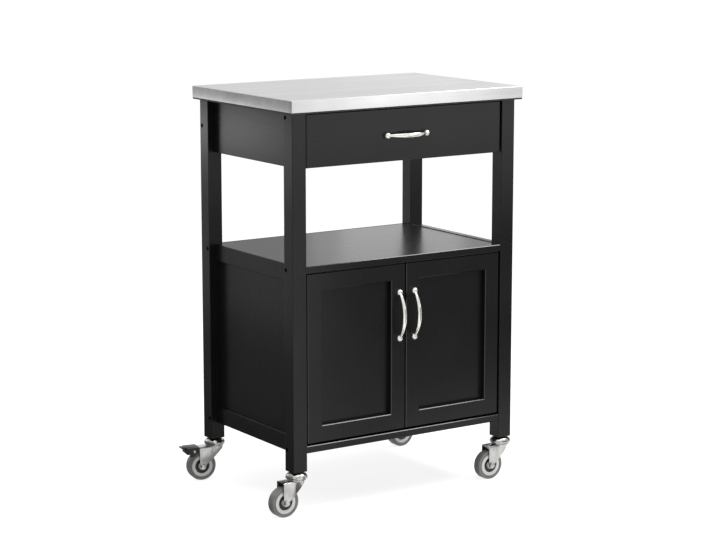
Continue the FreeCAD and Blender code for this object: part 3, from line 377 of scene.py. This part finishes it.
def worktop_sheet():
    """The folded sheet: rounded folds, an open underside, and a butt seam near each corner."""
    low, high = (Vector(corner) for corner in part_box("worktop_skin"))
    gauge, lap, seam = SHEET_GAUGE * MM, SEAM_LAP * MM, SEAM_WIDTH * MM
    bm = bmesh.new()
    bmesh.ops.create_cube(bm, size=1)
    bmesh.ops.scale(bm, vec=high - low, verts=bm.verts)
    bmesh.ops.translate(bm, vec=(low + high) / 2, verts=bm.verts)
    edges = [e for e in bm.edges if max(v.co.z for v in e.verts) > low.z + gauge]
    bmesh.ops.bevel(bm, geom=edges, offset=FOLD * MM, segments=4, profile=0.5, affect="EDGES",
                    material=-1)
    under = [f for f in bm.faces if f.normal.z < -0.9]
    bmesh.ops.delete(bm, geom=under, context="FACES")
    for y in (low.y + lap, low.y + lap + seam, high.y - lap - seam, high.y - lap):
        bmesh.ops.bisect_plane(bm, geom=bm.verts[:] + bm.edges[:] + bm.faces[:],
                               plane_co=(0, y, 0), plane_no=(0, 1, 0))
    seams = []
    for face in bm.faces:
        y = face.calc_center_median().y
        inward = min(y - low.y, high.y - y)
        if abs(face.normal.x) > 0.9 and lap < inward < lap + seam:
            seams.append(face)
    bmesh.ops.inset_region(bm, faces=seams, thickness=0, depth=-SEAM_DEPTH * MM)
    bmesh.ops.recalc_face_normals(bm, faces=bm.faces)
    bmesh.ops.solidify(bm, geom=bm.faces[:], thickness=gauge)
    add_piece("worktop_sheet", bm, "carcass", "steel_skin", ["worktop_skin"])


# ---- boards ----
DOOR_MEMBER, EASING = 35.0, 1.3             # width of a door's stiles and rails, and of an eased arris
SHORT_EDGE = 8.0                            # edges under this belong to bores and slots, and stay sharp
LONG_EDGE = 100.0                           # edges over this run the length of a board
RUBBED_BOARDS = ("shelf", "cupboard_floor", "drawer_front")


def flattened(bm):
    """Makes one flat of each rounded long arris, by welding the round's inner points to its ends."""
    ends, inner = set(), set()
    for edge in bm.edges:
        turn = math.degrees(edge.calc_face_angle(0)) if len(edge.link_faces) == 2 else 0
        if edge.calc_length() > LONG_EDGE * MM and 2 < turn < 20:
            (ends if turn < 6 else inner).update(edge.verts)
    if ends:
        bmesh.ops.weld_verts(bm, targetmap={
            v: min(ends, key=lambda end: (end.co - v.co).length) for v in inner - ends})


def eased_board(node, body):
    """A lacquered board with its arrises taken off."""
    bm = bmesh.new()
    bm.from_mesh(NODES[node].data)
    bmesh.ops.remove_doubles(bm, verts=bm.verts, dist=0.000001)
    bmesh.ops.dissolve_limit(bm, angle_limit=math.radians(1), verts=bm.verts, edges=bm.edges)
    rubbed = node in RUBBED_BOARDS
    if rubbed:
        flattened(bm)
    softened(bm, EASING, 1, 60, SHORT_EDGE)
    finish_board(add_piece(node + "_eased", bm, body, "black_lacquer", [node], smooth=False), rubbed)


def eased_door_frame(side):
    """A door's frame as one lacquered ring, with eased arrises inside and out."""
    low, high = (Vector(corner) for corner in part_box(f"{side}_door_frame"))
    bm = bmesh.new()
    bmesh.ops.create_grid(bm, x_segments=1, y_segments=1, size=0.5)
    moved(bm, Matrix.Translation((low + high) / 2 + Vector((0, (high.y - low.y) / 2, 0)))
          @ Matrix.Diagonal((high.x - low.x, 1, high.z - low.z, 1))
          @ Matrix.Rotation(math.radians(90), 4, "X"))
    inner = bm.faces[:]
    bmesh.ops.inset_region(bm, faces=inner, thickness=DOOR_MEMBER * MM, use_boundary=True,
                           use_even_offset=True)
    bmesh.ops.delete(bm, geom=inner, context="FACES")
    grown = bmesh.ops.extrude_face_region(bm, geom=bm.faces[:])
    front = [v for v in grown["geom"] if isinstance(v, bmesh.types.BMVert)]
    bmesh.ops.translate(bm, vec=(0, low.y - high.y, 0), verts=front)
    bmesh.ops.recalc_face_normals(bm, faces=bm.faces)
    softened(bm, EASING, 1, 60)
    finish_board(add_piece(f"{side}_door_ring", bm, f"{side}_door", "black_lacquer",
                           [f"{side}_door_frame"], smooth=False), True)


def finish_board(obj, rubbed):
    """Lacquer with its grain along the longest side, and glossier where hands rub the arrises."""
    corners = [Vector(corner) for corner in obj.bound_box]
    size = [max(c[i] for c in corners) - min(c[i] for c in corners) for i in range(3)]
    longest = size.index(max(size))
    give(obj, LACQUER[longest])
    if not rubbed:
        return
    obj.data.materials.append(BURNISHED[longest])
    for face in obj.data.polygons:
        lean = sorted(abs(part) for part in face.normal)
        if lean[0] < 0.02 and abs(lean[1] - lean[2]) < 0.02:
            face.material_index = 1


def boards():
    for end in ENDS:
        for side in SIDES:
            eased_board(f"{end}_{side}_leg", "carcass")
    for node in ("left_apron", "right_apron", "back_apron", "front_stretcher", "shelf",
                 "cupboard_floor", "upper_left_rail", "upper_right_rail", "lower_left_rail",
                 "lower_right_rail"):
        eased_board(node, "carcass")
    eased_board("drawer_front", "drawer")
    for side in SIDES:
        eased_door_frame(side)


# ---- handles ----
BOW_SPACING, BOW_RISE, BOW_FOOT_RISE = 98.0, 19.5, 4.5      # between the feet, the bow, the feet's height
BOW_END, BOW_SWELL = (2.5, 2.2), (2.2, 0.9)                 # half width and thickness, and their growth
FOOT_RADIUS, FOOT_CENTRE = 7.25, 3.6


def bow_handle(node, body, level=False):
    """A bow that swells towards its middle, growing out of two ball feet."""
    radius = (BOW_SPACING ** 2 / 4 + BOW_RISE ** 2) / (2 * BOW_RISE)
    sink = radius - BOW_RISE - BOW_FOOT_RISE
    half_angle = math.asin(BOW_SPACING / 2 / radius)
    bow = bmesh.new()
    bmesh.ops.create_circle(bow, cap_ends=True, segments=20, radius=1.0)
    bmesh.ops.transform(bow, matrix=Matrix.Translation((0, -radius * MM, 0))
                        @ Matrix.Diagonal((MM, MM, MM, 1)), verts=bow.verts)
    moved(bow, Matrix.Rotation(-half_angle, 4, "X"))
    bmesh.ops.spin(bow, geom=bow.verts[:] + bow.edges[:] + bow.faces[:], cent=(0, 0, 0),
                   axis=(1, 0, 0), dvec=(0, 0, 0), angle=2 * half_angle, steps=48)
    for vert in bow.verts:
        angle = math.atan2(-vert.co.z, -vert.co.y)
        out = math.hypot(vert.co.y, vert.co.z) / MM - radius
        swell = math.cos(angle / half_angle * math.pi / 2) ** 0.8 if abs(angle) < half_angle else 0
        width, thick = (end + growth * swell for end, growth in zip(BOW_END, BOW_SWELL))
        reach = (radius + out * thick) * MM
        vert.co = Vector((vert.co.x * width, -reach * math.cos(angle), -reach * math.sin(angle)))
    moved(bow, Matrix.Translation((0, sink * MM, 0)))
    parts = [bow]
    for up in (-1, 1):
        dome = turned([(0, 0)] + arc(0, FOOT_CENTRE, FOOT_RADIUS, -29, 90, 14))
        moved(dome, Matrix.Translation((0, 0, up * BOW_SPACING / 2 * MM))
              @ Matrix.Rotation(math.radians(90), 4, "X"))
        parts.append(dome)
    whole = merged(*parts)
    centre, back = middle(node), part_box(node)[1][1]
    turn = Matrix.Rotation(math.radians(90), 4, "Y") if level else Matrix()
    moved(whole, Matrix.Translation((centre.x, back, centre.z)) @ turn)
    add_piece(node + "_bow", whole, body, "handle_metal", [node])


# ---- castors ----
# Heights are above the floor, "back" is behind the kingpin's axis, and "half" is half a width.
LEG_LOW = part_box("front_left_leg")[0][2] / MM
AXLE_BACK, AXLE_HIGH = 32.0, 31.5
STEM_RADIUS, STEM_DEPTH, COLLAR_RADIUS = 4.0, 35.0, 7.5
RACE_TOP, RACE_LOW = LEG_LOW - 1.5, LEG_LOW - 14.0
RACE_RADIUS, RACE_BRIM = 23.0, 2.2                  # the cap's widest radius, and its straight brim
CROWN_TOP, CROWN_LOW = RACE_LOW - 0.4, RACE_LOW - 4.0
FORK_HALF, FORK_GAUGE = 14.0, 2.0
FORK_HEEL, FORK_FRONT, FORK_BEND = 6.5, 19.0, -12.0  # the cheeks' round, the nose, where the nose starts
FORK_CREASE = 50.0                                  # degrees that the nose turns at each cheek
PIN_BACK, PIN_HIGH, PIN_RADIUS = 52.0, LEG_LOW - 25.0, 1.95
PEDAL_HALF, PIN_HALF = 16.3, 16.6
TYRE_SEAT = 23.8                                    # where the hub's rim meets the tyre


def castor_place(end, side):
    """From a castor's own frame, on its kingpin's axis and trailing to -X, to the stand's."""
    leg = middle(f"{end}_{side}_leg")
    roll = next(j for j in frame["joints"] if j["name"] == f"{end}_{side}_wheel_roll")
    turn = math.atan2(roll["axis"][0], -roll["axis"][1])
    return Matrix.Translation((leg.x, leg.y, 0)) @ Matrix.Rotation(turn, 4, "Z")


def castor_stem_set():
    """Collar, domed race cap and riveted kingpin of every castor."""
    parts = []
    for end in ENDS:
        for side in SIDES:
            leg = middle(f"{end}_{side}_leg")
            place = Matrix.Translation((leg.x, leg.y, 0))
            parts.append(moved(turned(stem_profile()), place))
    add_piece("castor_stems_and_races", merged(*parts), "carcass", "castor_zinc", ["castor_stems"])


def stem_profile():
    """From the stem's top, down over the collar and the domed cap, to the kingpin's riveted end."""
    stem_top = LEG_LOW + STEM_DEPTH
    profile = [(0, stem_top), (STEM_RADIUS - 0.6, stem_top), (STEM_RADIUS, stem_top - 1),
               (STEM_RADIUS, LEG_LOW), (COLLAR_RADIUS, LEG_LOW), (COLLAR_RADIUS, RACE_TOP + 0.3)]
    shoulder, brim = 9, RACE_LOW + RACE_BRIM
    for i in range(13):
        angle = math.pi / 2 * i / 12
        profile.append((shoulder + (RACE_RADIUS - shoulder) * math.sin(angle),
                        brim + (RACE_TOP - brim) * math.cos(angle)))
    profile += [(22.8, RACE_LOW + 0.4), (22.2, RACE_LOW), (20.8, RACE_LOW), (20.0, RACE_LOW + 1),
                (STEM_RADIUS, RACE_LOW + 1), (STEM_RADIUS, CROWN_LOW - 2.4), (7, CROWN_LOW - 2.4)]
    return profile + arc(5.4, CROWN_LOW - 3.8, 1.6, 0, -90, 4) + [(0, CROWN_LOW - 5.4)]


def fork_low_edge(x):
    """Height of the fork's lower edge in front of its cheeks, in millimetres."""
    knee_x, knee_z = -18.0, AXLE_HIGH + 8
    slope = (CROWN_LOW - 5 - knee_z) / (FORK_FRONT + 1 - knee_x)
    return knee_z + (x - knee_x) * slope


def fork_stations():
    """Points round the fork's plan from one rear end to the other, with the edge's low height."""
    cheek = []
    for i in range(13):
        angle = math.pi * i / 12
        cheek.append((-AXLE_BACK - FORK_HEEL * math.cos(angle),
                      AXLE_HIGH - FORK_HEEL * math.sin(angle)))
    cheek += [(-24.0, AXLE_HIGH + 2.4), (-21.0, AXLE_HIGH + 5.4), (-18, fork_low_edge(-18))]
    near = [(x, -FORK_HALF, low) for x, low in cheek]
    crease = math.radians(FORK_CREASE)
    wide = FORK_HALF / math.cos(crease)
    long = (FORK_FRONT - FORK_BEND) / (1 - math.sin(crease))
    bend = []
    for i in range(25):
        angle = crease + (math.pi - 2 * crease) * i / 24
        x = FORK_FRONT - long * (1 - math.sin(angle))
        bend.append((x, -wide * math.cos(angle), fork_low_edge(x)))
    far = [(x, FORK_HALF, low) for x, low in reversed(cheek)]
    return near + bend + far


def fork_shell():
    """The pressed fork: one strip bent to a U, closed over the wheel by its rounded top."""
    stations = fork_stations()
    bm = bmesh.new()
    bmesh.ops.create_grid(bm, x_segments=len(stations) - 1, y_segments=1, size=1)
    columns = sorted({round(v.co.x, 5) for v in bm.verts})
    order = {x: i for i, x in enumerate(columns)}
    for vert in bm.verts:
        x, y, low = stations[order[round(vert.co.x, 5)]]
        vert.co = Vector((x, y, CROWN_LOW if vert.co.y > 0 else low)) * MM
    top = [v for v in bm.verts
           if v.co.z > (CROWN_LOW - 0.01) * MM and v.co.x > (-AXLE_BACK - FORK_HEEL - 0.01) * MM]
    rim = [e for e in bm.edges if all(v in top for v in e.verts)]
    bmesh.ops.contextual_create(bm, geom=top)
    bmesh.ops.recalc_face_normals(bm, faces=bm.faces)
    bmesh.ops.bevel(bm, geom=[e for e in rim if e.is_valid and len(e.link_faces) == 2],
                    offset=2.4 * MM, segments=4, profile=0.5, affect="EDGES", material=-1)
    bmesh.ops.solidify(bm, geom=bm.faces[:], thickness=FORK_GAUGE * MM)
    return bm


def hexagon(across, height, rounding=0.5):
    bm = bmesh.new()
    bmesh.ops.create_circle(bm, cap_ends=True, segments=6, radius=across / math.sqrt(3) * MM)
    grown = bmesh.ops.extrude_face_region(bm, geom=bm.faces[:])
    far = [v for v in grown["geom"] if isinstance(v, bmesh.types.BMVert)]
    bmesh.ops.translate(bm, vec=(0, 0, height * MM), verts=far)
    bmesh.ops.recalc_face_normals(bm, faces=bm.faces)
    return softened(bm, rounding, 2)


def across_at(x, z, offset=0.0, flip=False):
    """Places something turned about Z so that it lies across the fork at a point."""
    turn = math.radians(90 if flip else -90)
    return Matrix.Translation((x * MM, offset * MM, z * MM)) @ Matrix.Rotation(turn, 4, "X")


def axle_parts():
    """The axle bolt: its washers, domed head, nut and end."""
    x, z = -AXLE_BACK, AXLE_HIGH
    shank = moved(turned([(0, -15), (3.9, -15), (3.9, 18.4), (3.2, 19), (0, 19)]), across_at(x, z))
    washers = []
    for flip in (False, True):
        ring = turned([(4, 0), (7, 0), (7, 1), (4, 1)], closed=True)
        washers.append(moved(ring, across_at(x, z, -FORK_HALF if flip else FORK_HALF, flip)))
    nut = moved(hexagon(11.5, 3.6), across_at(x, z, FORK_HALF + 1))
    head = turned([(0, 0), (5.8, 0), (5.8, 1.6)] + arc(3.6, 1.6, 2.2, 0, 90, 5) + [(0, 3.8)])
    socket = moved(head, across_at(x, z, -FORK_HALF - 1, True))
    return [shank, nut, socket] + washers


def brake_pin_parts():
    """The fork's rear ears and the domed rivet that they and the pedal's cheeks turn on."""
    low, high = PIN_HIGH - 5, PIN_HIGH + 5
    back, front = -PIN_BACK - 5, -AXLE_BACK - FORK_HEEL + 0.5
    ear = [(front, low), (back + 4, low), (back + 1.2, low + 1.2), (back, low + 4),
           (back, high - 4), (back + 1.2, high - 1.2), (back + 4, high), (front, high)]
    parts = []
    for flip in (False, True):
        out = -1 if flip else 1
        plate = slab(ear, FORK_GAUGE, 0.3, 2)
        parts.append(moved(plate, Matrix.Translation((0, out * (FORK_HALF - 1) * MM, 0))))
        dome = turned([(0, -1), (PIN_RADIUS, -1), (PIN_RADIUS, 0), (3.5, 0)]
                      + arc(2.0, 0, 1.5, 0, 90, 5) + [(0, 1.5)])
        parts.append(moved(dome, across_at(-PIN_BACK, PIN_HIGH, out * PIN_HALF, flip)))
    pin = turned([(0, -PIN_HALF), (PIN_RADIUS, -PIN_HALF), (PIN_RADIUS, PIN_HALF), (0, PIN_HALF)],
                 steps=24)
    return parts + [moved(pin, across_at(-PIN_BACK, PIN_HIGH))]


def castor_fork(end, side):
    """The fork, the crown that turns under the race, the axle, and on a braked castor its pin."""
    crown = turned([(4.1, CROWN_LOW - 0.2), (19.2, CROWN_LOW - 0.2)]
                   + arc(18.8, CROWN_LOW + 1.0, 1.1, -60, 60, 4)
                   + arc(18.6, CROWN_TOP - 0.6, 0.6, 0, 90, 3) + [(4.1, CROWN_TOP)], closed=True)
    parts = [fork_shell(), crown] + axle_parts()
    if end == "back":
        parts += brake_pin_parts()
    whole = moved(merged(*parts), castor_place(end, side))
    add_piece(f"{end}_{side}_fork", whole, f"{end}_{side}_castor", "castor_zinc",
              [f"{end}_{side}_castor_fork"])


def both_faces(half, first=()):
    """A closed profile of (radius, height) points from the half above the wheel's middle plane."""
    return [*first] + half + [(r, -h) for r, h in reversed(half)]


def castor_wheel(end, side):
    """The tyre with its rounded shoulders, the hub with its ring and boss, and black rings set in the hub's recess
    as painted shade for its hollow.
    """
    place, body = castor_place(end, side) @ across_at(-AXLE_BACK, AXLE_HIGH), f"{end}_{side}_wheel"
    half = [(TYRE_SEAT, 7.0), (TYRE_SEAT, 9.3)] + arc(24.7, 9.3, 0.7, 120, 60, 3)
    half += [(26.2, 9.5), (26.6, 9.0), (27.0, 9.5), (28.4, 9.6)] + arc(29.1, 7.4, 2.4, 75, 0, 7)
    tyre = turned(both_faces(half, [(25, 0)]), closed=True, steps=96)
    add_piece(f"{end}_{side}_tyre_ring", moved(tyre, place), body, "tyre_rubber", [f"{end}_{side}_tyre"])
    half = [(4.05, 11.6), (7.4, 11.6), (8.0, 11.0), (8.4, 5.4), (15.4, 5.0), (16.2, 5.6),
            (16.4, 9.4)]
    half += arc(17.2, 9.2, 0.8, 165, 95, 4) + [(18.4, 9.9), (21.5, 9.8)]
    half += arc(22.7, 8.9, 0.9, 100, 20, 4) + [(TYRE_SEAT, 8.6), (TYRE_SEAT, 7.0), (25, 6.6)]
    hub = turned(both_faces(half), closed=True, steps=96)
    add_piece(f"{end}_{side}_hub_disc", moved(hub, place), body, "hub_plastic", [f"{end}_{side}_hub"])
    # black rings in the hub's recess: painted shade, standing in for the shadow in the hollow round the boss
    ring = [(8.3, 5.2), (8.3, 6.6), (10.0, 7.0), (10.6, 6.2), (13.6, 6.2), (14.4, 7.0), (16.1, 6.8),
            (16.3, 5.4)]
    shade_rings = [turned([(r, up * h) for r, h in ring], closed=True) for up in (-1, 1)]
    add_piece(f"{end}_{side}_recess_shade_rings", moved(merged(*shade_rings), place), body, "pedal_plastic")


def brake_pedal(end, side):
    """The moulded lever: a ribbed tread, cheeks outside the fork's ears, and a shoe."""
    def outline(*points):
        """Points given from the brake pin."""
        return [(x - PIN_BACK, z + PIN_HIGH) for x, z in points]

    cheek = outline((12, 8.3), (-17, 8.3), (-17, -5.2), (-15.6, -6.4), (-10.2, -6.4), (-8.6, -12.9),
                    (0, -11.9), (4.4, -8.2), (12, -3.3))
    tread = outline((12, 8.3), (-26.5, 9.1), (-28, 8.7), (-28, 7.4), (-17, 4.6), (5, 0), (12, 6.4))
    shoe = outline((-5, 0), (-6.5, -9.8), (-2.6, -10.8), (2, -6.6), (4.5, 0))
    parts = [slab(tread, 19, 0.7), slab(shoe, 15.2, 0.6)]
    for out in (-1, 1):
        plate = slab(cheek, 2.0, 0.5)
        parts.append(moved(plate, Matrix.Translation((0, out * (PEDAL_HALF - 1) * MM, 0))))
    bridge = outline((-9, -6.1), (-9, 6.4), (12, 6.4), (12, 8.2), (-16.8, 8.2), (-16.8, -5.1),
                     (-15.4, -6.1))
    parts.append(slab(bridge, 2 * PEDAL_HALF - 1, 0.3))
    for i in range(4):
        x = -26.0 + 2.6 * i
        rib_high = PIN_HIGH + 8.5 - 0.02 * x
        parts.append(block((1.0, 15.0, 0.9), (x - PIN_BACK, 0, rib_high), 0.3))
    whole = moved(merged(*parts), castor_place(end, side))
    add_piece(f"{end}_{side}_pedal", whole, f"{end}_{side}_brake", "pedal_plastic",
              [f"{end}_{side}_brake_pedal"])


def castors():
    castor_stem_set()
    for end in ENDS:
        for side in SIDES:
            castor_fork(end, side)
            castor_wheel(end, side)
            if end == "back":
                brake_pedal(end, side)


def handles():
    bow_handle("drawer_handle", "drawer", level=True)
    for side in SIDES:
        bow_handle(f"{side}_door_handle", f"{side}_door")


# ---------------------------------------------------------------- stage

CAMERA_AT, CAMERA_LENS = (-2.5216, -3.8126, 1.2877), 108.49
CAMERA_DIP, CAMERA_TURN = 10.204, 33.746            # degrees below level, and to the right of straight on
FLOOR_SHADE, FLOOR_GLOW, WORLD_LEVEL = 0.55, 0.80, 0.40


def look_camera():
    data = bpy.data.cameras.new("camera")
    data.sensor_width = 36
    data.lens = CAMERA_LENS
    camera = bpy.data.objects.new("camera", data)
    camera.location = CAMERA_AT
    camera.rotation_euler = (math.radians(90 - CAMERA_DIP), 0, -math.radians(CAMERA_TURN))
    bpy.context.scene.collection.objects.link(camera)
    bpy.context.scene.camera = camera


def seen_directly(tree):
    """1 for camera, glossy and transmission rays, 0 for the rays that light the object."""
    path = tree.nodes.new("ShaderNodeLightPath")
    total = path.outputs["Is Camera Ray"]
    for kind in ("Is Glossy Ray", "Is Transmission Ray"):
        node = tree.nodes.new("ShaderNodeMath")
        node.operation = "ADD"
        node.use_clamp = True
        tree.links.new(total, node.inputs[0])
        tree.links.new(path.outputs[kind], node.inputs[1])
        total = node.outputs[0]
    return total


def stage_floor():
    """A pale floor that glows to white where it is seen, and still takes the stand's shadow."""
    bm = bmesh.new()
    bmesh.ops.create_grid(bm, x_segments=1, y_segments=1, size=30)
    mesh = bpy.data.meshes.new("floor")
    bm.to_mesh(mesh)
    bm.free()
    floor = bpy.data.objects.new("floor", mesh)
    floor.location.z = CAD_BOX[0].z - 0.0002
    bpy.context.scene.collection.objects.link(floor)
    material = bpy.data.materials.new("white floor")
    material.use_nodes = True
    tree = material.node_tree
    tree.nodes.clear()
    output = tree.nodes.new("ShaderNodeOutputMaterial")
    matt = tree.nodes.new("ShaderNodeBsdfDiffuse")
    matt.inputs["Color"].default_value = (FLOOR_SHADE, FLOOR_SHADE, FLOOR_SHADE, 1)
    glow = tree.nodes.new("ShaderNodeEmission")
    glow.inputs["Color"].default_value = (1, 1, 1, 1)
    tree.links.new(to_range(tree, seen_directly(tree), 0.0, FLOOR_GLOW, 0.0, 1.0),
                   glow.inputs["Strength"])
    both = tree.nodes.new("ShaderNodeAddShader")
    tree.links.new(matt.outputs[0], both.inputs[0])
    tree.links.new(glow.outputs[0], both.inputs[1])
    tree.links.new(both.outputs[0], output.inputs[0])
    mesh.materials.append(material)


def surroundings():
    """A world that is white where it is seen, and lights the object more softly."""
    world = bpy.data.worlds.new("studio")
    bpy.context.scene.world = world
    world.use_nodes = True
    tree = world.node_tree
    tree.nodes.clear()
    output = tree.nodes.new("ShaderNodeOutputWorld")
    back = tree.nodes.new("ShaderNodeBackground")
    back.inputs["Color"].default_value = (1, 1, 1, 1)
    tree.links.new(to_range(tree, seen_directly(tree), WORLD_LEVEL, 1.0, 0.0, 1.0),
                   back.inputs["Strength"])
    tree.links.new(back.outputs[0], output.inputs[0])


def softbox(name, at, towards, width, height, watts, reflected=True):
    """A lamp behind a cloth, out of sight of the camera."""
    data = bpy.data.lights.new(name, "AREA")
    data.shape = "RECTANGLE"
    data.size, data.size_y = width, height
    data.energy = watts
    lamp = bpy.data.objects.new(name, data)
    lamp.visible_camera = False
    lamp.visible_glossy = reflected
    lamp.location = at
    lamp.rotation_mode = "QUATERNION"
    lamp.rotation_quaternion = (Vector(towards) - Vector(at)).to_track_quat("-Z", "Y")
    bpy.context.scene.collection.objects.link(lamp)


def painted_reflection_card(name, centre, width, height, turn, glow, lean=90):
    """A glowing card beside the set that only reflections see: a painted reflection, the dark ones painted shade
    and the bright ones painted highlights, to give gloss and metal their contrast.
    """
    bm = bmesh.new()
    bmesh.ops.create_grid(bm, x_segments=1, y_segments=1, size=0.5)
    bmesh.ops.scale(bm, vec=(width, height, 1), verts=bm.verts)
    moved(bm, Matrix.Translation(centre) @ Matrix.Rotation(math.radians(turn), 4, "Z")
          @ Matrix.Rotation(math.radians(lean), 4, "X"))
    mesh = bpy.data.meshes.new(name)
    bm.to_mesh(mesh)
    bm.free()
    board = bpy.data.objects.new(name, mesh)
    bpy.context.scene.collection.objects.link(board)
    board.visible_camera = False
    board.visible_diffuse = False
    board.visible_shadow = False
    material, _, surface = new_material(name)
    surface.inputs["Base Color"].default_value = (0, 0, 0, 1)
    surface.inputs["Roughness"].default_value = 1.0
    surface.inputs["Emission Color"].default_value = (1, 1, 1, 1)
    surface.inputs["Emission Strength"].default_value = glow
    mesh.materials.append(material)


def studio():
    bpy.context.scene.view_settings.view_transform = "Standard"
    stage_floor()
    surroundings()
    # place, what it is aimed at, width, height, watts
    target = (0, 0, 0.60)
    softbox("top softbox", (-0.3, -0.4, 2.6), target, 2.2, 2.2, 20)
    softbox("back left softbox", (-1.3, 2.2, 1.35), target, 1.2, 0.5, 8)
    softbox("front softbox", (1.95, -3.2, 0.95), target, 1.6, 1.1, 9)
    softbox("right high softbox", (1.35, -0.5, 2.1), (0, 0, 0.4), 1.4, 0.6, 24)
    softbox("low fill", (0.5, -2.6, 0.5), (0, 0, 0.1), 1.4, 0.7, 12, reflected=False)
    # painted reflections: glowing cards that only glossy rays see, dim ones for painted shade, bright ones for
    # painted highlights
    # centre, width, height, degrees turned about the vertical, glow
    painted_reflection_card("left low card", (-0.56, 0.55, 0.13), 1.7, 0.26, 90, 0.20)
    painted_reflection_card("left middle card", (-0.56, 0.55, 0.42), 1.7, 0.32, 90, 0.50)
    painted_reflection_card("left strip", (-0.56, 1.02, 0.705), 1.16, 0.10, 90, 3.0)
    painted_reflection_card("left high card", (-0.56, 0.55, 0.98), 1.7, 0.42, 90, 0.12)
    painted_reflection_card("front card", (0.85, -0.75, 0.275), 1.3, 0.55, 0, 0.30)
    painted_reflection_card("right card", (1.3, 0.6, 0.35), 1.8, 0.70, 90, 0.10)
    painted_reflection_card("back dim card", (0.22, 0.85, 0.72), 0.44, 0.40, 0, 0.60)
    painted_reflection_card("back bright card", (0.74, 0.85, 0.72), 0.40, 0.40, 0, 1.40)
    painted_reflection_card("near card", (-1.05, -1.45, 0.22), 0.22, 0.50, -35, 0.03)
    # the same, lying on the floor
    painted_reflection_card("left floor card", (-0.62, 0.5, 0.001), 0.65, 1.8, 0, 0.08, lean=0)
    # painted shade: the stand's shadow beneath it, as the castors' metal would reflect it
    painted_reflection_card("under card", (0, 0, 0.001), 0.50, 0.30, 0, 0.40, lean=0)
    painted_reflection_card("castor card", (0.03, -0.36, 0.001), 0.40, 0.14, -35, 0.12, lean=0)


finish_nodes()
worktop_sheet()
boards()
handles()
castors()
look_camera()
studio()
